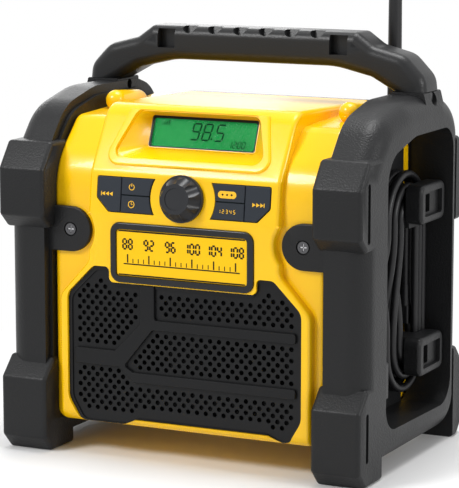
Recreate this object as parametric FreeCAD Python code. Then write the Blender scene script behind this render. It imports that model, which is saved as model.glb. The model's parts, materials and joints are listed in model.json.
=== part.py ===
import FreeCAD, Part
import math
import os

from FreeCAD import Vector

# A compact mains and battery jobsite radio: a moulded housing between two roll-cage side frames.
# X runs to the listener's right as they face the front, +Y to the back, +Z up; the ground is z = 0.

# Overall size
overall_width = 260.0
overall_depth = 180.0

# Housing
body_width = 196.0
body_floor = 20.0
console_setback = 11.0
panel_setback = 18.0
rear_setback = 2.0
rear_shell_depth = 24.0
shell_wall = 2.8
console_width = 138.0
console_flare = 182.0
console_rise = 56.4
console_fall = 3.0
console_lift = 1.5
console_inset = 9.0
panel_drop = 10.0
panel_rise = 4.0
boss_x = 86.0
boss_front = -8.0
boss_rear = 22.0
boss_rise = 6.5
boss_sink = 2.5
boss_round = 7.0
lip_height = 3.0
fit_gap = 0.2
face_gap = 0.3

# Sloped front of the console
key_lean = 6.6
key_drop = 15.6
facet_rise = 14.4
facet_lean = 31.2

# Display
lcd_width = 78.0
lcd_height = 22.2
lcd_lean = 21.7
lcd_y = -47.2
lcd_rise = 38.9
dish_rise = 37.9
dish_bottom_width = 112.0
dish_top_width = 88.0
dish_height = 36.0
dish_step = 0.6
ridge_height = 1.6
ridge_round = 1.4
pane_thickness = 1.6
pane_ledge = 0.4
lcd_thickness = 3.0
guide_thickness = 3.0

# Keys and tuning knob
control_height = 175.6
key_height = 22.5
key_outer = 62.2
key_divider = 44.5
key_chamfer = 9.0
key_swing = 23.7
key_gap = 0.5
key_thickness = 3.0
key_proud = 0.7
key_travel = 0.6
key_round = 0.35
knob_radius = 15.4
knob_nose_radius = 11.2
knob_length = 11.2
knob_scallops = 9
shaft_radius = 3.0
shaft_play = 0.05
board_thickness = 1.6

# Name badge, left plain
badge_width = 103.6
badge_height = 39.8
badge_drop = 37.5
badge_border = 4.4
badge_proud = 1.4
badge_sink = 1.4

# Speaker grille
grille_half = 84.6
grille_drop = 10.6
grille_foot = 23.0
grille_setback = 2.8
grille_thickness = 2.2
grille_bar_rise = 2.6
hole_radius = 1.7
hole_pitch = 8.8
hole_row = 5.0

# Speakers
speaker_spacing = 84.0
speaker_height = 72.0
speaker_radius = 36.0
surround_radius = 33.3
baffle_thickness = 2.0
baffle_inset = 2.0
speaker_depth = 24.0
magnet_radius = 21.0
magnet_depth = 11.0
cone_radius = 28.0
cone_travel = 1.5

# Side frames
frame_inner = 100.6
frame_front = 9.0
frame_rear = 9.0
frame_rise = 6.0
frame_foot = 8.0
frame_round = 15.0
opening_front = -47.5
opening_rear = 65.5
opening_floor = 27.0
opening_drop = 23.0
web_thickness = 2.2
web_rear = 50.0
bumper_inner = 96.0
upper_bumper_drop = 31.0
upper_bumper_height = 57.0
lower_bumper_high = 63.0
bumper_bevel = 13.0
bumper_reach = 16.0
groove_inset = 12.5
groove_length = 38.0
upper_groove_drop = 13.5
lower_groove_low = 16.0
lower_groove_length = 32.0
ear_x = 84.0
ear_drop = 25.6
ear_radius = 15.0
ear_thickness = 3.2
ear_pocket = 19.0

# Handle
handle_y = 38.0
handle_depth = 30.0
handle_rise = 39.5
grip_height = 23.0
grip_round = 7.0
leg_rise = 2.0
notch_count = 6
notch_pitch = 19.0
slot_x = 64.0
slot_size = 13.0
bolt_radius = 3.0
bolt_drop = 5.0

# Cord hooks and the mains cord wound on them
cord_diameter = 5.2
column_pitch = 6.8
layer_pitch = 6.2
front_pitch = 11.0
cord_clearance = 0.9
upper_hook_z = 166.0
lower_hook_z = 64.0
hook_y = 41.0
hook_length = 42.0
hook_height = 26.0
hook_plate = 11.5
stem_y = 33.6
stem_width = 20.0
stem_height = 15.0
coil_rise = 155.0
coil_fall = 72.0
turn_count = 6
gland_top = 108.0
gland_length = 26.0
plug_y = -29.0
plug_top = 82.0
plug_floor = 46.0
plug_shoulder = 70.0
blade_spread = 6.35
blade_foot = 29.8

# Antenna
antenna_x = 83.5
antenna_inset = 14.0
antenna_radius = 4.9
antenna_tip_radius = 3.8
antenna_rise = 192.0
antenna_foot_radius = 8.0
antenna_foot_sink = 9.0
antenna_foot_height = 12.0

# Battery dock, on the back
dock_width = 86.0
dock_floor = 42.0
dock_height = 130.0
dock_depth = 30.0
rail_height = 62.0

# Auxiliary input
aux_x = -70.0
aux_z = 70.0
jack_radius = 1.8
jack_length = 13.0
jack_z = 67.0
cover_width = 20.0
cover_height = 22.0
cover_thickness = 3.0
cover_pin_radius = 0.8
cover_recess = 1.5
ear_block_width = 3.0
ear_block_half = 2.2
nose_radius = 4.5

# Boards and clock cell
board_half = 80.0
board_y = 40.0
board_low = 100.0
board_high = 190.0
boss_radius = 4.2
cell_rise = 22.0
cell_radius = 10.0
cell_thickness = 3.2
cell_cover_radius = 11.0

# Screws
screw_head_radius = 3.8
screw_shank_radius = 1.6
screw_length = 12.0
screw_head_height = 1.5
rear_screw_x = 84.0
rear_screw_low = 40.0
rear_screw_drop = 22.0

half_width = overall_width / 2
front = -overall_depth / 2
back = overall_depth / 2
body_half = body_width / 2
key_foot = control_height - key_drop
facet_foot = control_height + facet_rise
dish_centre = control_height + dish_rise
lcd_z = control_height + lcd_rise
badge_centre = control_height - badge_drop
grille_top = badge_centre - grille_drop
ear_z = control_height - ear_drop
console_top = control_height + console_rise
console_rear_top = console_top - console_fall
panel_top = console_top - panel_drop
panel_rear_top = panel_top + panel_rise
frame_top = console_top + frame_rise
opening_top = frame_top - opening_drop
upper_bumper_high = frame_top - upper_bumper_drop
upper_bumper_low = upper_bumper_high - upper_bumper_height
upper_groove_high = upper_bumper_high - upper_groove_drop
upper_groove_low = upper_groove_high - groove_length
lower_groove_high = lower_groove_low + lower_groove_length
handle_top = frame_top + handle_rise
handle_under = handle_top - grip_height
leg_foot = frame_top + leg_rise
bolt_z = leg_foot - bolt_drop
antenna_tip = frame_top + antenna_rise
antenna_foot_low = panel_rear_top - antenna_foot_sink
antenna_foot_high = antenna_foot_low + antenna_foot_height
cell_z = dock_floor + dock_height + cell_rise
rear_screw_high = panel_top - rear_screw_drop
console_front = front + console_setback
panel_front = front + panel_setback
body_back = back - rear_setback
split_y = body_back - rear_shell_depth
antenna_y = body_back - antenna_inset
groove_y = front + groove_inset
recess_floor = body_back - cover_recess
cover_back = recess_floor + face_gap + cover_thickness
hinge_y = cover_back - cover_thickness / 2
hinge_z = aux_z + cover_height / 2 - cover_thickness / 2

parts = {}


def unit(degrees):
    """Return cosine and sine of an angle in degrees."""
    return math.cos(math.radians(degrees)), math.sin(math.radians(degrees))


def outline(corners, place):
    """Closed wire through (u, v, radius) corners, each rounded by an arc; place maps (u, v) to space."""
    count = len(corners)
    entries = []
    for index in range(count):
        u, v, radius = corners[index]
        back_u, back_v, _ = corners[index - 1]
        next_u, next_v, _ = corners[(index + 1) % count]
        here = Vector(u, v, 0)
        towards_back = (Vector(back_u, back_v, 0) - here).normalize()
        towards_next = (Vector(next_u, next_v, 0) - here).normalize()
        if radius <= 0:
            entries.append((here, None, here))
            continue
        half_angle = towards_back.getAngle(towards_next) / 2
        reach = radius / math.tan(half_angle)
        bisector = (towards_back + towards_next).normalize()
        centre = here + bisector * (radius / math.sin(half_angle))
        entries.append((here + towards_back * reach, centre - bisector * radius, here + towards_next * reach))
    edges = []
    for index in range(count):
        start, middle, end = entries[index]
        following = entries[(index + 1) % count][0]
        if middle is not None:
            points = [place(point.x, point.y) for point in (start, middle, end)]
            edges.append(Part.Arc(*points).toShape())
        if (following - end).Length > 1e-6:
            edges.append(Part.LineSegment(place(end.x, end.y), place(following.x, following.y)).toShape())
    return Part.Wire(edges)


def across(corners, x_low, x_high):
    """Solid whose section in Y and Z has the given corners, from x_low to x_high."""
    wire = outline(corners, lambda u, v: Vector(x_low, u, v))
    return Part.Face(wire).extrude(Vector(x_high - x_low, 0, 0))


def along(corners, y_low, y_high):
    """Solid whose section in X and Z has the given corners, from y_low to y_high."""
    wire = outline(corners, lambda u, v: Vector(u, y_low, v))
    return Part.Face(wire).extrude(Vector(0, y_high - y_low, 0))


def upright(corners, z_low, z_high):
    """Solid whose section in X and Y has the given corners, from z_low to z_high."""
    wire = outline(corners, lambda u, v: Vector(u, v, z_low))
    return Part.Face(wire).extrude(Vector(0, 0, z_high - z_low))


def rectangle(u_low, v_low, u_high, v_high, radius=0.0):
    """Corners of a rectangle with equal corner radii."""
    corners = [(u_low, v_low), (u_high, v_low), (u_high, v_high), (u_low, v_high)]
    return [(u, v, radius) for u, v in corners]


def block(low, high):
    """Box between two corners."""
    size = [high[axis] - low[axis] for axis in range(3)]
    return Part.makeBox(size[0], size[1], size[2], Vector(*low))


def rod(radius, start, end):
    """Round bar between two points."""
    direction = Vector(*end) - Vector(*start)
    return Part.makeCylinder(radius, direction.Length, Vector(*start), direction)


def shrink(corners, inset):
    """Corners of an outline moved inwards by a wall thickness; the outline runs anticlockwise."""
    count = len(corners)
    result = []
    for index in range(count):
        u, v, radius = corners[index]
        before = corners[index - 1]
        after = corners[(index + 1) % count]
        into = Vector(u - before[0], v - before[1], 0).normalize()
        out = Vector(after[0] - u, after[1] - v, 0).normalize()
        into_normal = Vector(-into.y, into.x, 0)
        out_normal = Vector(-out.y, out.x, 0)
        share = 1 + into_normal.dot(out_normal)
        shift = (into_normal + out_normal) * (inset / share)
        turn = into.x * out.y - into.y * out.x
        new_radius = radius - inset if turn > 0 else radius + inset
        result.append((u + shift.x, v + shift.y, max(new_radius, 0.3) if radius > 0 else 0.0))
    return result


def mirrored(shape):
    """Copy of a shape on the other side of the middle plane."""
    return shape.mirror(Vector(0, 0, 0), Vector(1, 0, 0))


def rounded(shape, radius, chosen):
    """Fillet the edges that a test picks by their middle point and the edge itself."""
    picked = [edge for edge in shape.Edges if chosen(edge.CenterOfMass, edge)]
    return shape.makeFillet(radius, picked)


# Console section: the front leans at the keys, slopes back at the display and rounds over to the top.
lean_cos, lean_sin = unit(key_lean)
facet_cos, facet_sin = unit(facet_lean)
facet_foot_y = console_front + (facet_foot - key_foot) * math.tan(math.radians(key_lean))
facet_head_y = facet_foot_y + (console_top - facet_foot) * math.tan(math.radians(facet_lean))


def console_profile():
    """Console section, anticlockwise seen from the right."""
    return [
        (console_front, body_floor + console_lift, 8.0),
        (body_back - console_inset, body_floor + console_lift, 0.0),
        (body_back - console_inset, console_rear_top - 1.0, 10.0),
        (split_y, console_rear_top, 0.0),
        (facet_head_y, console_top, 16.0),
        (facet_foot_y, facet_foot, 12.0),
        (console_front, key_foot, 60.0),
    ]


def panel_profile():
    """Section of the set-back side panels."""
    return [
        (panel_front, body_floor, 9.0),
        (body_back, body_floor, 12.0),
        (body_back, panel_rear_top - 3.0, 14.0),
        (split_y, panel_rear_top, 0.0),
        (panel_front + 30.0, panel_top, 12.0),
        (panel_front, panel_top - 30.0, 40.0),
    ]


def console_front_view():
    """Console outline seen from the front: narrow at the controls and flared round the grille."""
    narrow = console_width / 2
    wide = console_flare / 2
    return [
        (-wide, body_floor - 5.0, 0.0),
        (wide, body_floor - 5.0, 0.0),
        (wide, grille_top - 21.0, 10.0),
        (narrow, grille_top + 3.0, 10.0),
        (narrow, console_top + 4.0, 6.0),
        (-narrow, console_top + 4.0, 6.0),
        (-narrow, grille_top + 3.0, 10.0),
        (-wide, grille_top - 21.0, 10.0),
    ]


def body_solid(inset):
    """Whole housing as one block, moved inwards by a wall thickness."""
    panels = across(shrink(panel_profile(), inset), -body_half + inset, body_half - inset)
    front_view = console_front_view()
    console = along(shrink(front_view, inset), front, back)
    for side in (-1, 1):
        pocket = rod(ear_pocket + inset, (side * ear_x, front, ear_z), (side * ear_x, split_y, ear_z))
        console = console.cut(pocket)
    section = across(shrink(console_profile(), inset), -body_half, body_half)
    console = console.common(section)
    if inset == 0:
        panels = rounded(panels, 4.0, lambda middle, edge: abs(abs(middle.x) - body_half) < 0.01)
        console = rounded(console, 3.0, console_side_edge)
    return panels.fuse(console)


def console_side_edge(middle, edge):
    """True for the edges where the console's front and slope turn into its sides."""
    box = edge.BoundBox
    at_side = abs(middle.x) > console_width / 2 - 12.0
    in_front = box.YMin < -20.0 and middle.y < 0.0
    above_floor = middle.z > body_floor + 12.0
    runs_back = box.YLength > 60.0 and middle.z < panel_top
    drift = abs(edge.Vertexes[0].Point.x - edge.Vertexes[-1].Point.x)
    down_the_side = drift < 0.01 and middle.y > facet_head_y and middle.z < console_top - 30.0
    return at_side and in_front and above_floor and not runs_back and not down_the_side


def key_frame(depth):
    """Map (x, height along the leaning panel) to space, at a depth behind the panel's face."""
    foot = Vector(0, console_front, key_foot)
    up = Vector(0, lean_sin, lean_cos)
    inward = Vector(0, lean_cos, -lean_sin)

    def place(u, v):
        return foot + up * v + inward * depth + Vector(u, 0, 0)

    return place


def facet_frame(depth):
    """Map (x, height along the display slope from its middle) to space, at a depth behind the slope."""
    middle_y = facet_foot_y + (dish_centre - facet_foot) * math.tan(math.radians(facet_lean))
    up = Vector(0, facet_sin, facet_cos)
    inward = Vector(0, facet_cos, -facet_sin)

    def place(u, v):
        return Vector(u, middle_y, dish_centre) + up * v + inward * depth

    return place


def lcd_frame(depth):
    """Map (x, height along the display glass from its middle) to space, at a depth behind its front."""
    cosine, sine = unit(lcd_lean)
    up = Vector(0, sine, cosine)
    inward = Vector(0, cosine, -sine)

    def place(u, v):
        return Vector(u, lcd_y, lcd_z) + up * v + inward * depth

    return place


def slab(corners, frame, depth_front, depth_back):
    """Flat piece between two depths in one of the leaning frames."""
    wire = outline(corners, frame(depth_front))
    reach = frame(depth_back)(0, 0) - frame(depth_front)(0, 0)
    return Part.Face(wire).extrude(reach)


def taper(front_corners, front_place, back_corners, back_place):
    """Piece that runs from one outline to another, each drawn in its own leaning frame."""
    return Part.makeLoft([outline(front_corners, front_place), outline(back_corners, back_place)], True)


def trapezoid(bottom_width, top_width, height, radius):
    """Corners of the dish round the display."""
    return [
        (-bottom_width / 2, -height / 2, radius),
        (bottom_width / 2, -height / 2, radius),
        (top_width / 2, height / 2, radius),
        (-top_width / 2, height / 2, radius),
    ]


def grille_outline(inset):
    """Grille outline seen from the front, with the badge notch at its top and the chin at its foot."""
    notch = badge_width / 2 + 1.6
    badge_low = badge_centre - badge_height / 2 - 0.8
    edge = [
        (-44.0, grille_foot, 3.0),
        (-35.0, grille_foot + 4.0, 3.0),
        (61.0, grille_foot + 4.0, 3.0),
        (71.0, grille_foot, 3.0),
        (grille_half - 9.0, grille_foot, 6.0),
        (grille_half, grille_foot + 15.0, 12.0),
        (grille_half, grille_top - 19.5, 9.0),
        (65.0, grille_top, 6.0),
        (notch, grille_top, 3.0),
        (notch, badge_low, 3.5),
        (-notch, badge_low, 3.5),
        (-notch, grille_top, 3.0),
        (-65.0, grille_top, 6.0),
        (-grille_half, grille_top - 19.5, 9.0),
        (-grille_half, grille_foot + 15.0, 12.0),
        (-grille_half + 9.0, grille_foot, 6.0),
    ]
    return shrink(edge, inset) if inset else edge


def bar_outline():
    """Raised bars of the grille: one running band seen from the front."""
    return [
        (-31.0, grille_top - 7.0, 0.0),
        (-20.5, grille_top - 7.0, 0.0),
        (-20.5, 94.5, 2.0),
        (80.5, 94.5, 1.5),
        (80.5, 88.0, 1.5),
        (-22.0, 88.0, 2.0),
        (-43.0, 62.5, 2.0),
        (-36.5, 58.5, 2.0),
        (80.5, 58.5, 1.5),
        (80.5, 52.0, 1.5),
        (-35.5, 52.0, 2.0),
        (-46.5, 61.5, 2.0),
        (-79.5, 61.5, 1.5),
        (-79.5, 72.0, 1.5),
        (-50.0, 72.0, 2.0),
        (-31.0, 91.5, 2.0),
    ]


def keypad_outline(side, grow):
    """Corners of one whole keypad; the edge next to the knob follows the knob."""
    mid = (control_height - key_foot) / lean_cos
    low = mid - key_height / 2 - grow
    high = mid + key_height / 2 + grow
    outer = key_outer + grow
    corners = [
        (side * 15.0, low, 0.0),
        (side * (outer - key_chamfer), low, 2.0),
        (side * outer, low + key_chamfer, 3.0),
        (side * outer, high, 1.5),
        (side * 15.0, high, 0.0),
    ]
    return corners if side > 0 else corners[::-1]


def keypad_solid(side, grow, depth_front, depth_back):
    """One keypad's block between two depths, hollowed round the knob."""
    pad = slab(keypad_outline(side, grow), key_frame, depth_front, depth_back)
    mid = (control_height - key_foot) / lean_cos
    near = key_frame(depth_front - 5.0)(0, mid)
    far = key_frame(depth_back + 5.0)(0, mid)
    return pad.cut(Part.makeCylinder(key_swing - grow, (far - near).Length, near, far - near))


def control_point(depth):
    """Point on the knob's axis at a depth behind the panel."""
    return key_frame(depth)(0, (control_height - key_foot) / lean_cos)


def control_rod(radius, depth_front, depth_back):
    """Round bar on the knob's axis."""
    start = control_point(depth_front)
    end = control_point(depth_back)
    return Part.makeCylinder(radius, (end - start).Length, start, end - start)


def grille_recess(grow, depth):
    """Pocket of the grille, from before the console's face to a depth behind it."""
    return along(grille_outline(-grow) if grow else grille_outline(0), front, console_front + depth)


grille_seat = grille_setback + grille_thickness
rim_depth = grille_seat + shell_wall
badge_box = rectangle(-badge_width / 2, badge_centre - badge_height / 2, badge_width / 2,
                      badge_centre + badge_height / 2, 7.0)


def dock_pocket(grow):
    """Bay in the back for the battery."""
    corners = rectangle(-dock_width / 2 - grow, dock_floor - grow, dock_width / 2 + grow,
                        dock_floor + dock_height + grow, 6.0 + grow)
    return along(corners, body_back - dock_depth - grow, back + 10.0)


def bosses(grow):
    """Bullet-shaped bosses on the housing's top corners."""
    result = []
    for side in (-1, 1):
        start = (side * boss_x, boss_front, panel_top + boss_rise)
        end = (side * boss_x, boss_rear, panel_top + boss_rise - boss_sink)
        radius = boss_round + grow
        balls = [Part.makeSphere(radius, Vector(*start)), Part.makeSphere(radius, Vector(*end))]
        result.append(rod(radius, start, end).fuse(balls))
    return result


def make_housings():
    """Front and rear housing shells."""
    outer = body_solid(0)
    inner = body_solid(shell_wall)
    outer = outer.fuse(bosses(0))
    shell = outer.cut(inner)
    front_half = block((-half_width, front - 1, 0), (half_width, split_y, console_top + 20))
    rear_half = block((-half_width, split_y, 0), (half_width, back + 20, console_top + 20))

    housing = shell.common(front_half)
    rim = along(grille_outline(-3.0), console_front + 1.0, console_front + rim_depth)
    housing = housing.fuse(rim.common(body_solid(0.5)))
    housing = housing.cut(grille_recess(face_gap, grille_seat))
    housing = housing.cut(along(grille_outline(4.0), front, console_front + rim_depth + 1.0))
    lip = trapezoid(dish_bottom_width + 10.0, dish_top_width + 10.0, dish_height + 9.0, 9.0)
    ridge = slab(lip, facet_frame, -ridge_height, 4.0)
    ridge_face = facet_frame(-ridge_height)(0, 0)
    facet_inward = Vector(0, facet_cos, -facet_sin)
    ridge = rounded(ridge, ridge_round,
                    lambda middle, edge: abs((middle - ridge_face).dot(facet_inward)) < 0.05)
    ridge = ridge.common(block((-half_width, front, facet_foot - 6.0), (half_width, 0, console_top - 3.0)))
    housing = housing.fuse(ridge)
    bezel_front = trapezoid(dish_bottom_width + 4.0, dish_top_width + 4.0, dish_height + 4.0, 8.0)
    window = rectangle(-lcd_width / 2, -lcd_height / 2, lcd_width / 2, lcd_height / 2, 2.0)
    bezel = taper(bezel_front, facet_frame(shell_wall - 0.5), shrink(window, -3.0), lcd_frame(pane_thickness))
    housing = housing.fuse(bezel.common(body_solid(1.0)))
    dish_front = trapezoid(dish_bottom_width, dish_top_width, dish_height, 7.0)
    housing = housing.cut(slab(dish_front, facet_frame, -3.0, dish_step))
    dish_inner = [(u * 0.985, v * 0.96, radius) for u, v, radius in dish_front]
    housing = housing.cut(taper(dish_inner, facet_frame(0.0), window, lcd_frame(0.0)))
    housing = housing.cut(slab(shrink(window, pane_ledge), lcd_frame, -1.0, pane_thickness + 6.0))
    for side in (-1, 1):
        housing = housing.cut(keypad_solid(side, key_gap, -2.0, shell_wall + 6.0))
    housing = housing.cut(control_rod(shaft_radius + 1.5, -2.0, shell_wall + 6.0))
    badge_seat = along(badge_box, front, console_front + badge_sink)
    housing = housing.cut(badge_seat)
    for x in (-ear_x, ear_x):
        housing = housing.cut(rod(screw_shank_radius, (x, panel_front - 5, ear_z), (x, panel_front + 20, ear_z)))
    housing = housing.fuse(rear_bosses() + board_rails() + board_posts())
    parts["front_housing"] = housing

    rear = shell.common(rear_half)
    tongue_outer = body_solid(shell_wall + fit_gap)
    tongue_inner = body_solid(shell_wall + fit_gap + 1.6)
    tongue_zone = block((-half_width, split_y - lip_height, 0), (half_width, split_y + 4.0, console_top + 20))
    tongue = tongue_outer.cut(tongue_inner).common(tongue_zone)
    bridge_zone = block((-half_width, split_y + 0.5, 0), (half_width, split_y + 4.0, console_top + 20))
    bridge = body_solid(shell_wall - 0.5).cut(tongue_inner).common(bridge_zone)
    rear = rear.fuse([tongue, bridge])
    rear = rear.fuse(dock_pocket(shell_wall).common(body_solid(1.0)))
    rear = rear.cut(dock_pocket(0))
    rear = rear.cut(aux_pocket())
    rear = rear.cut(Part.makeCompound(aux_ears()))
    foot_hole = antenna_foot_radius + fit_gap
    rear = rear.cut(antenna_rod(foot_hole, antenna_foot_low - 1.0, antenna_foot_low + 30.0))
    cover_hole = cell_cover_radius + fit_gap
    rear = rear.cut(rod(cover_hole, (0, body_back - shell_wall - 1.0, cell_z), (0, back, cell_z)))
    for x, z in rear_screw_places():
        rear = rear.cut(rod(screw_shank_radius + fit_gap, (x, split_y, z), (x, back, z)))
        rear = rear.cut(rod(screw_head_radius + fit_gap, (x, body_back - screw_head_height, z), (x, back, z)))
    parts["rear_housing"] = rear


def rear_screw_places():
    """X and Z of the four screws that close the housing."""
    return [(x, z) for x in (-rear_screw_x, rear_screw_x) for z in (rear_screw_low, rear_screw_high)]


def rear_bosses():
    """Posts in the front housing that the rear screws bite into, each on a rib from the side wall."""
    posts = []
    for x, z in rear_screw_places():
        post = rod(boss_radius, (x, split_y - 22.0, z), (x, body_back - shell_wall - fit_gap, z))
        wall_x = math.copysign(body_half - shell_wall / 2, x)
        x_low, x_high = sorted((x, wall_x))
        rib = block((x_low, split_y - 22.0, z - 1.2), (x_high, split_y - lip_height - 1.0, z + 1.2))
        bore = rod(screw_shank_radius, (x, split_y, z), (x, back, z))
        posts.append(post.fuse(rib).cut(bore))
    return posts


def board_rails():
    """Rails on the side walls that carry the main board."""
    rails = []
    for side in (-1, 1):
        x_low, x_high = sorted((side * (board_half - 4.0), side * (body_half - shell_wall / 2)))
        rails.append(block((x_low, board_y - 3.0, board_low + 10.0), (x_high, board_y, board_high - 10.0)))
    return rails


def board_posts():
    """Posts behind the control panel that carry the control board."""
    mid = (control_height - key_foot) / lean_cos
    posts = []
    for u in (-14.0, 14.0):
        for v in (mid - 8.5, mid + 8.5):
            near = key_frame(shell_wall - 0.6)(u, v)
            far = key_frame(key_back() + 2.0)(u, v)
            posts.append(Part.makeCylinder(1.8, (far - near).Length, near, far - near))
    return posts


def antenna_rod(radius, z_low, z_high):
    """Round bar on the antenna's axis."""
    return rod(radius, (antenna_x, antenna_y, z_low), (antenna_x, antenna_y, z_high))


def aux_pins():
    """Two stub pins that the cover turns on."""
    pins = []
    for side in (-1, 1):
        inner = aux_x + side * (cover_width / 2 - 3.0)
        outer = aux_x + side * (cover_width / 2 + 2.0)
        pins.append(rod(cover_pin_radius, (inner, hinge_y, hinge_z), (outer, hinge_y, hinge_z)))
    return pins


def aux_pocket():
    """Shallow recess of the auxiliary input's cover, with the hole of the socket's nose."""
    corners = rectangle(aux_x - cover_width / 2 - face_gap, aux_z - cover_height / 2 - face_gap,
                        aux_x + cover_width / 2 + face_gap, aux_z + cover_height / 2 + face_gap + 0.4, 0.0)
    nose = rod(nose_radius + fit_gap, (aux_x, body_back - shell_wall - 1.0, jack_z), (aux_x, back, jack_z))
    return along(corners, recess_floor, back + 5.0).fuse(nose)


def aux_ears():
    """Two small blocks let into the rear housing that hold the cover's pins."""
    ears = []
    for side in (-1, 1):
        near = aux_x + side * (cover_width / 2 + face_gap)
        low, high = sorted((near, near + side * ear_block_width))
        ears.append(block((low, recess_floor - 1.0, hinge_z - ear_block_half),
                          (high, cover_back, hinge_z + ear_block_half)))
    return ears


def make_display():
    """Clear pane, glass panel behind it and the light guide that carries them."""
    window = rectangle(-lcd_width / 2, -lcd_height / 2, lcd_width / 2, lcd_height / 2, 2.0)
    pane_box = shrink(window, pane_ledge + fit_gap)
    panel_back = pane_thickness + lcd_thickness
    parts["display_window"] = slab(pane_box, lcd_frame, 0.0, pane_thickness)
    parts["lcd_panel"] = slab(shrink(pane_box, 1.0), lcd_frame, pane_thickness, panel_back)
    guide_back = panel_back + guide_thickness
    parts["display_light_guide"] = slab(shrink(window, -3.0), lcd_frame, panel_back, guide_back)


def key_back():
    """Depth of the keys' carrier board behind the panel's face."""
    return key_thickness - key_proud + key_travel + 1.2


def make_keys():
    """Six rubber-domed keys in two pads, and the control board that they press on."""
    mid = (control_height - key_foot) / lean_cos
    low = mid - key_height / 2 - 5.0
    high = mid + key_height / 2 + 5.0
    half_gap = key_gap / 2
    rows = {
        "seek_back_key": (-1, key_divider + half_gap, 90.0, low, high),
        "power_key": (-1, 0.0, key_divider - half_gap, mid + half_gap, high),
        "clock_key": (-1, 0.0, key_divider - half_gap, low, mid - half_gap),
        "mode_key": (1, 0.0, key_divider - half_gap, mid + half_gap, high),
        "preset_key": (1, 0.0, key_divider - half_gap, low, mid - half_gap),
        "seek_forward_key": (1, key_divider + half_gap, 90.0, low, high),
    }
    for name, (side, near, far, foot, head) in rows.items():
        pad = keypad_solid(side, 0.0, -key_proud, key_thickness - key_proud)
        u_low, u_high = sorted((side * near, side * far))
        cell = slab(rectangle(u_low, foot, u_high, head), key_frame, -3.0, key_thickness + 3.0)
        key = pad.common(cell)
        front_plane = key_frame(-key_proud)(0, 0)
        inward = Vector(0, lean_cos, -lean_sin)
        front_edges = [edge for edge in key.Edges
                       if abs((edge.CenterOfMass - front_plane).dot(inward)) < 0.01]
        key = key.makeChamfer(key_round, front_edges)
        parts[name] = key
    board_face = key_back()
    board = slab(rectangle(-64.0, mid - 12.5, 64.0, mid + 14.0), key_frame, board_face + 2.0,
                 board_face + 2.0 + board_thickness)
    start = control_point(board_face)
    end = control_point(board_face + 10.0)
    board = board.cut(Part.makeCylinder(5.5, (end - start).Length, start, end - start))
    parts["control_board"] = board
    switches = []
    gap = key_thickness - key_proud + key_travel + 0.15
    for side in (-1, 1):
        for u, v in ((53.0, mid), (33.5, mid + 6.0), (33.5, mid - 6.0)):
            body = rectangle(side * u - 3.0, v - 3.0, side * u + 3.0, v + 3.0)
            switches.append(slab(body, key_frame, gap, board_face + 2.0))
    parts["key_switches"] = Part.makeCompound(switches)


def make_knob():
    """Fluted tuning knob on its shaft, and the rotary encoder that carries the shaft."""
    base = control_rod(knob_radius, -2.6, -0.4)
    start = control_point(-2.6)
    nose = control_point(-knob_length)
    body = Part.makeCone(knob_radius - 1.0, knob_nose_radius, (nose - start).Length, start, nose - start)
    inward = (start - nose).normalize()
    sideways = Vector(1, 0, 0)
    upwards = inward.cross(sideways)
    for index in range(knob_scallops):
        cosine, sine = unit(90.0 + index * 360.0 / knob_scallops)
        direction = sideways * cosine + upwards * sine
        foot = start + direction * (knob_radius + 5.6)
        top = nose + direction * (knob_nose_radius + 3.6)
        axis = top - foot
        body = body.cut(Part.makeCylinder(6.0, axis.Length + 4.0, foot - axis.normalize() * 1.0, axis))
    bevel = Part.makeCone(knob_nose_radius - 1.2, knob_radius + 4.0, knob_length, nose, start - nose)
    body = body.common(bevel)
    recess = control_rod(knob_nose_radius - 4.0, -knob_length - 1.0, -knob_length + 0.5)
    knob = base.fuse(body).cut(recess)
    knob = knob.cut(control_rod(shaft_radius, -6.5, 0.0))
    parts["tuning_knob"] = knob
    parts["knob_shaft"] = control_rod(shaft_radius, -6.5, key_back() + 7.0)
    bush_front = shell_wall + 0.6
    encoder = control_rod(5.2, bush_front, key_back() + 2.0 + board_thickness)
    mid = (control_height - key_foot) / lean_cos
    case = slab(rectangle(-6.5, mid - 6.5, 6.5, mid + 6.5, 1.0), key_frame,
                key_back() + 2.0 + board_thickness, key_back() + 9.0)
    encoder = encoder.fuse(case).cut(control_rod(shaft_radius + shaft_play, 0.0, key_back() + 7.0 + face_gap))
    parts["rotary_encoder"] = encoder


def make_badge():
    """Plain plate in a black surround."""
    surround_front = console_front - badge_proud
    surround_back = console_front + badge_sink
    ring = along(shrink(badge_box, fit_gap), surround_front, surround_back)
    ring = rounded(ring, 0.9, lambda middle, edge: abs(middle.y - surround_front) < 0.01)
    ring = ring.cut(along(shrink(badge_box, badge_border), surround_front - 1.0, surround_back + 1.0))
    parts["badge_surround"] = ring
    plate_front = surround_front + 1.0
    plate = along(shrink(badge_box, badge_border + fit_gap / 2), plate_front, surround_back)
    parts["badge_plate"] = rounded(plate, 0.5, lambda middle, edge: abs(middle.y - plate_front) < 0.01)


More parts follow.
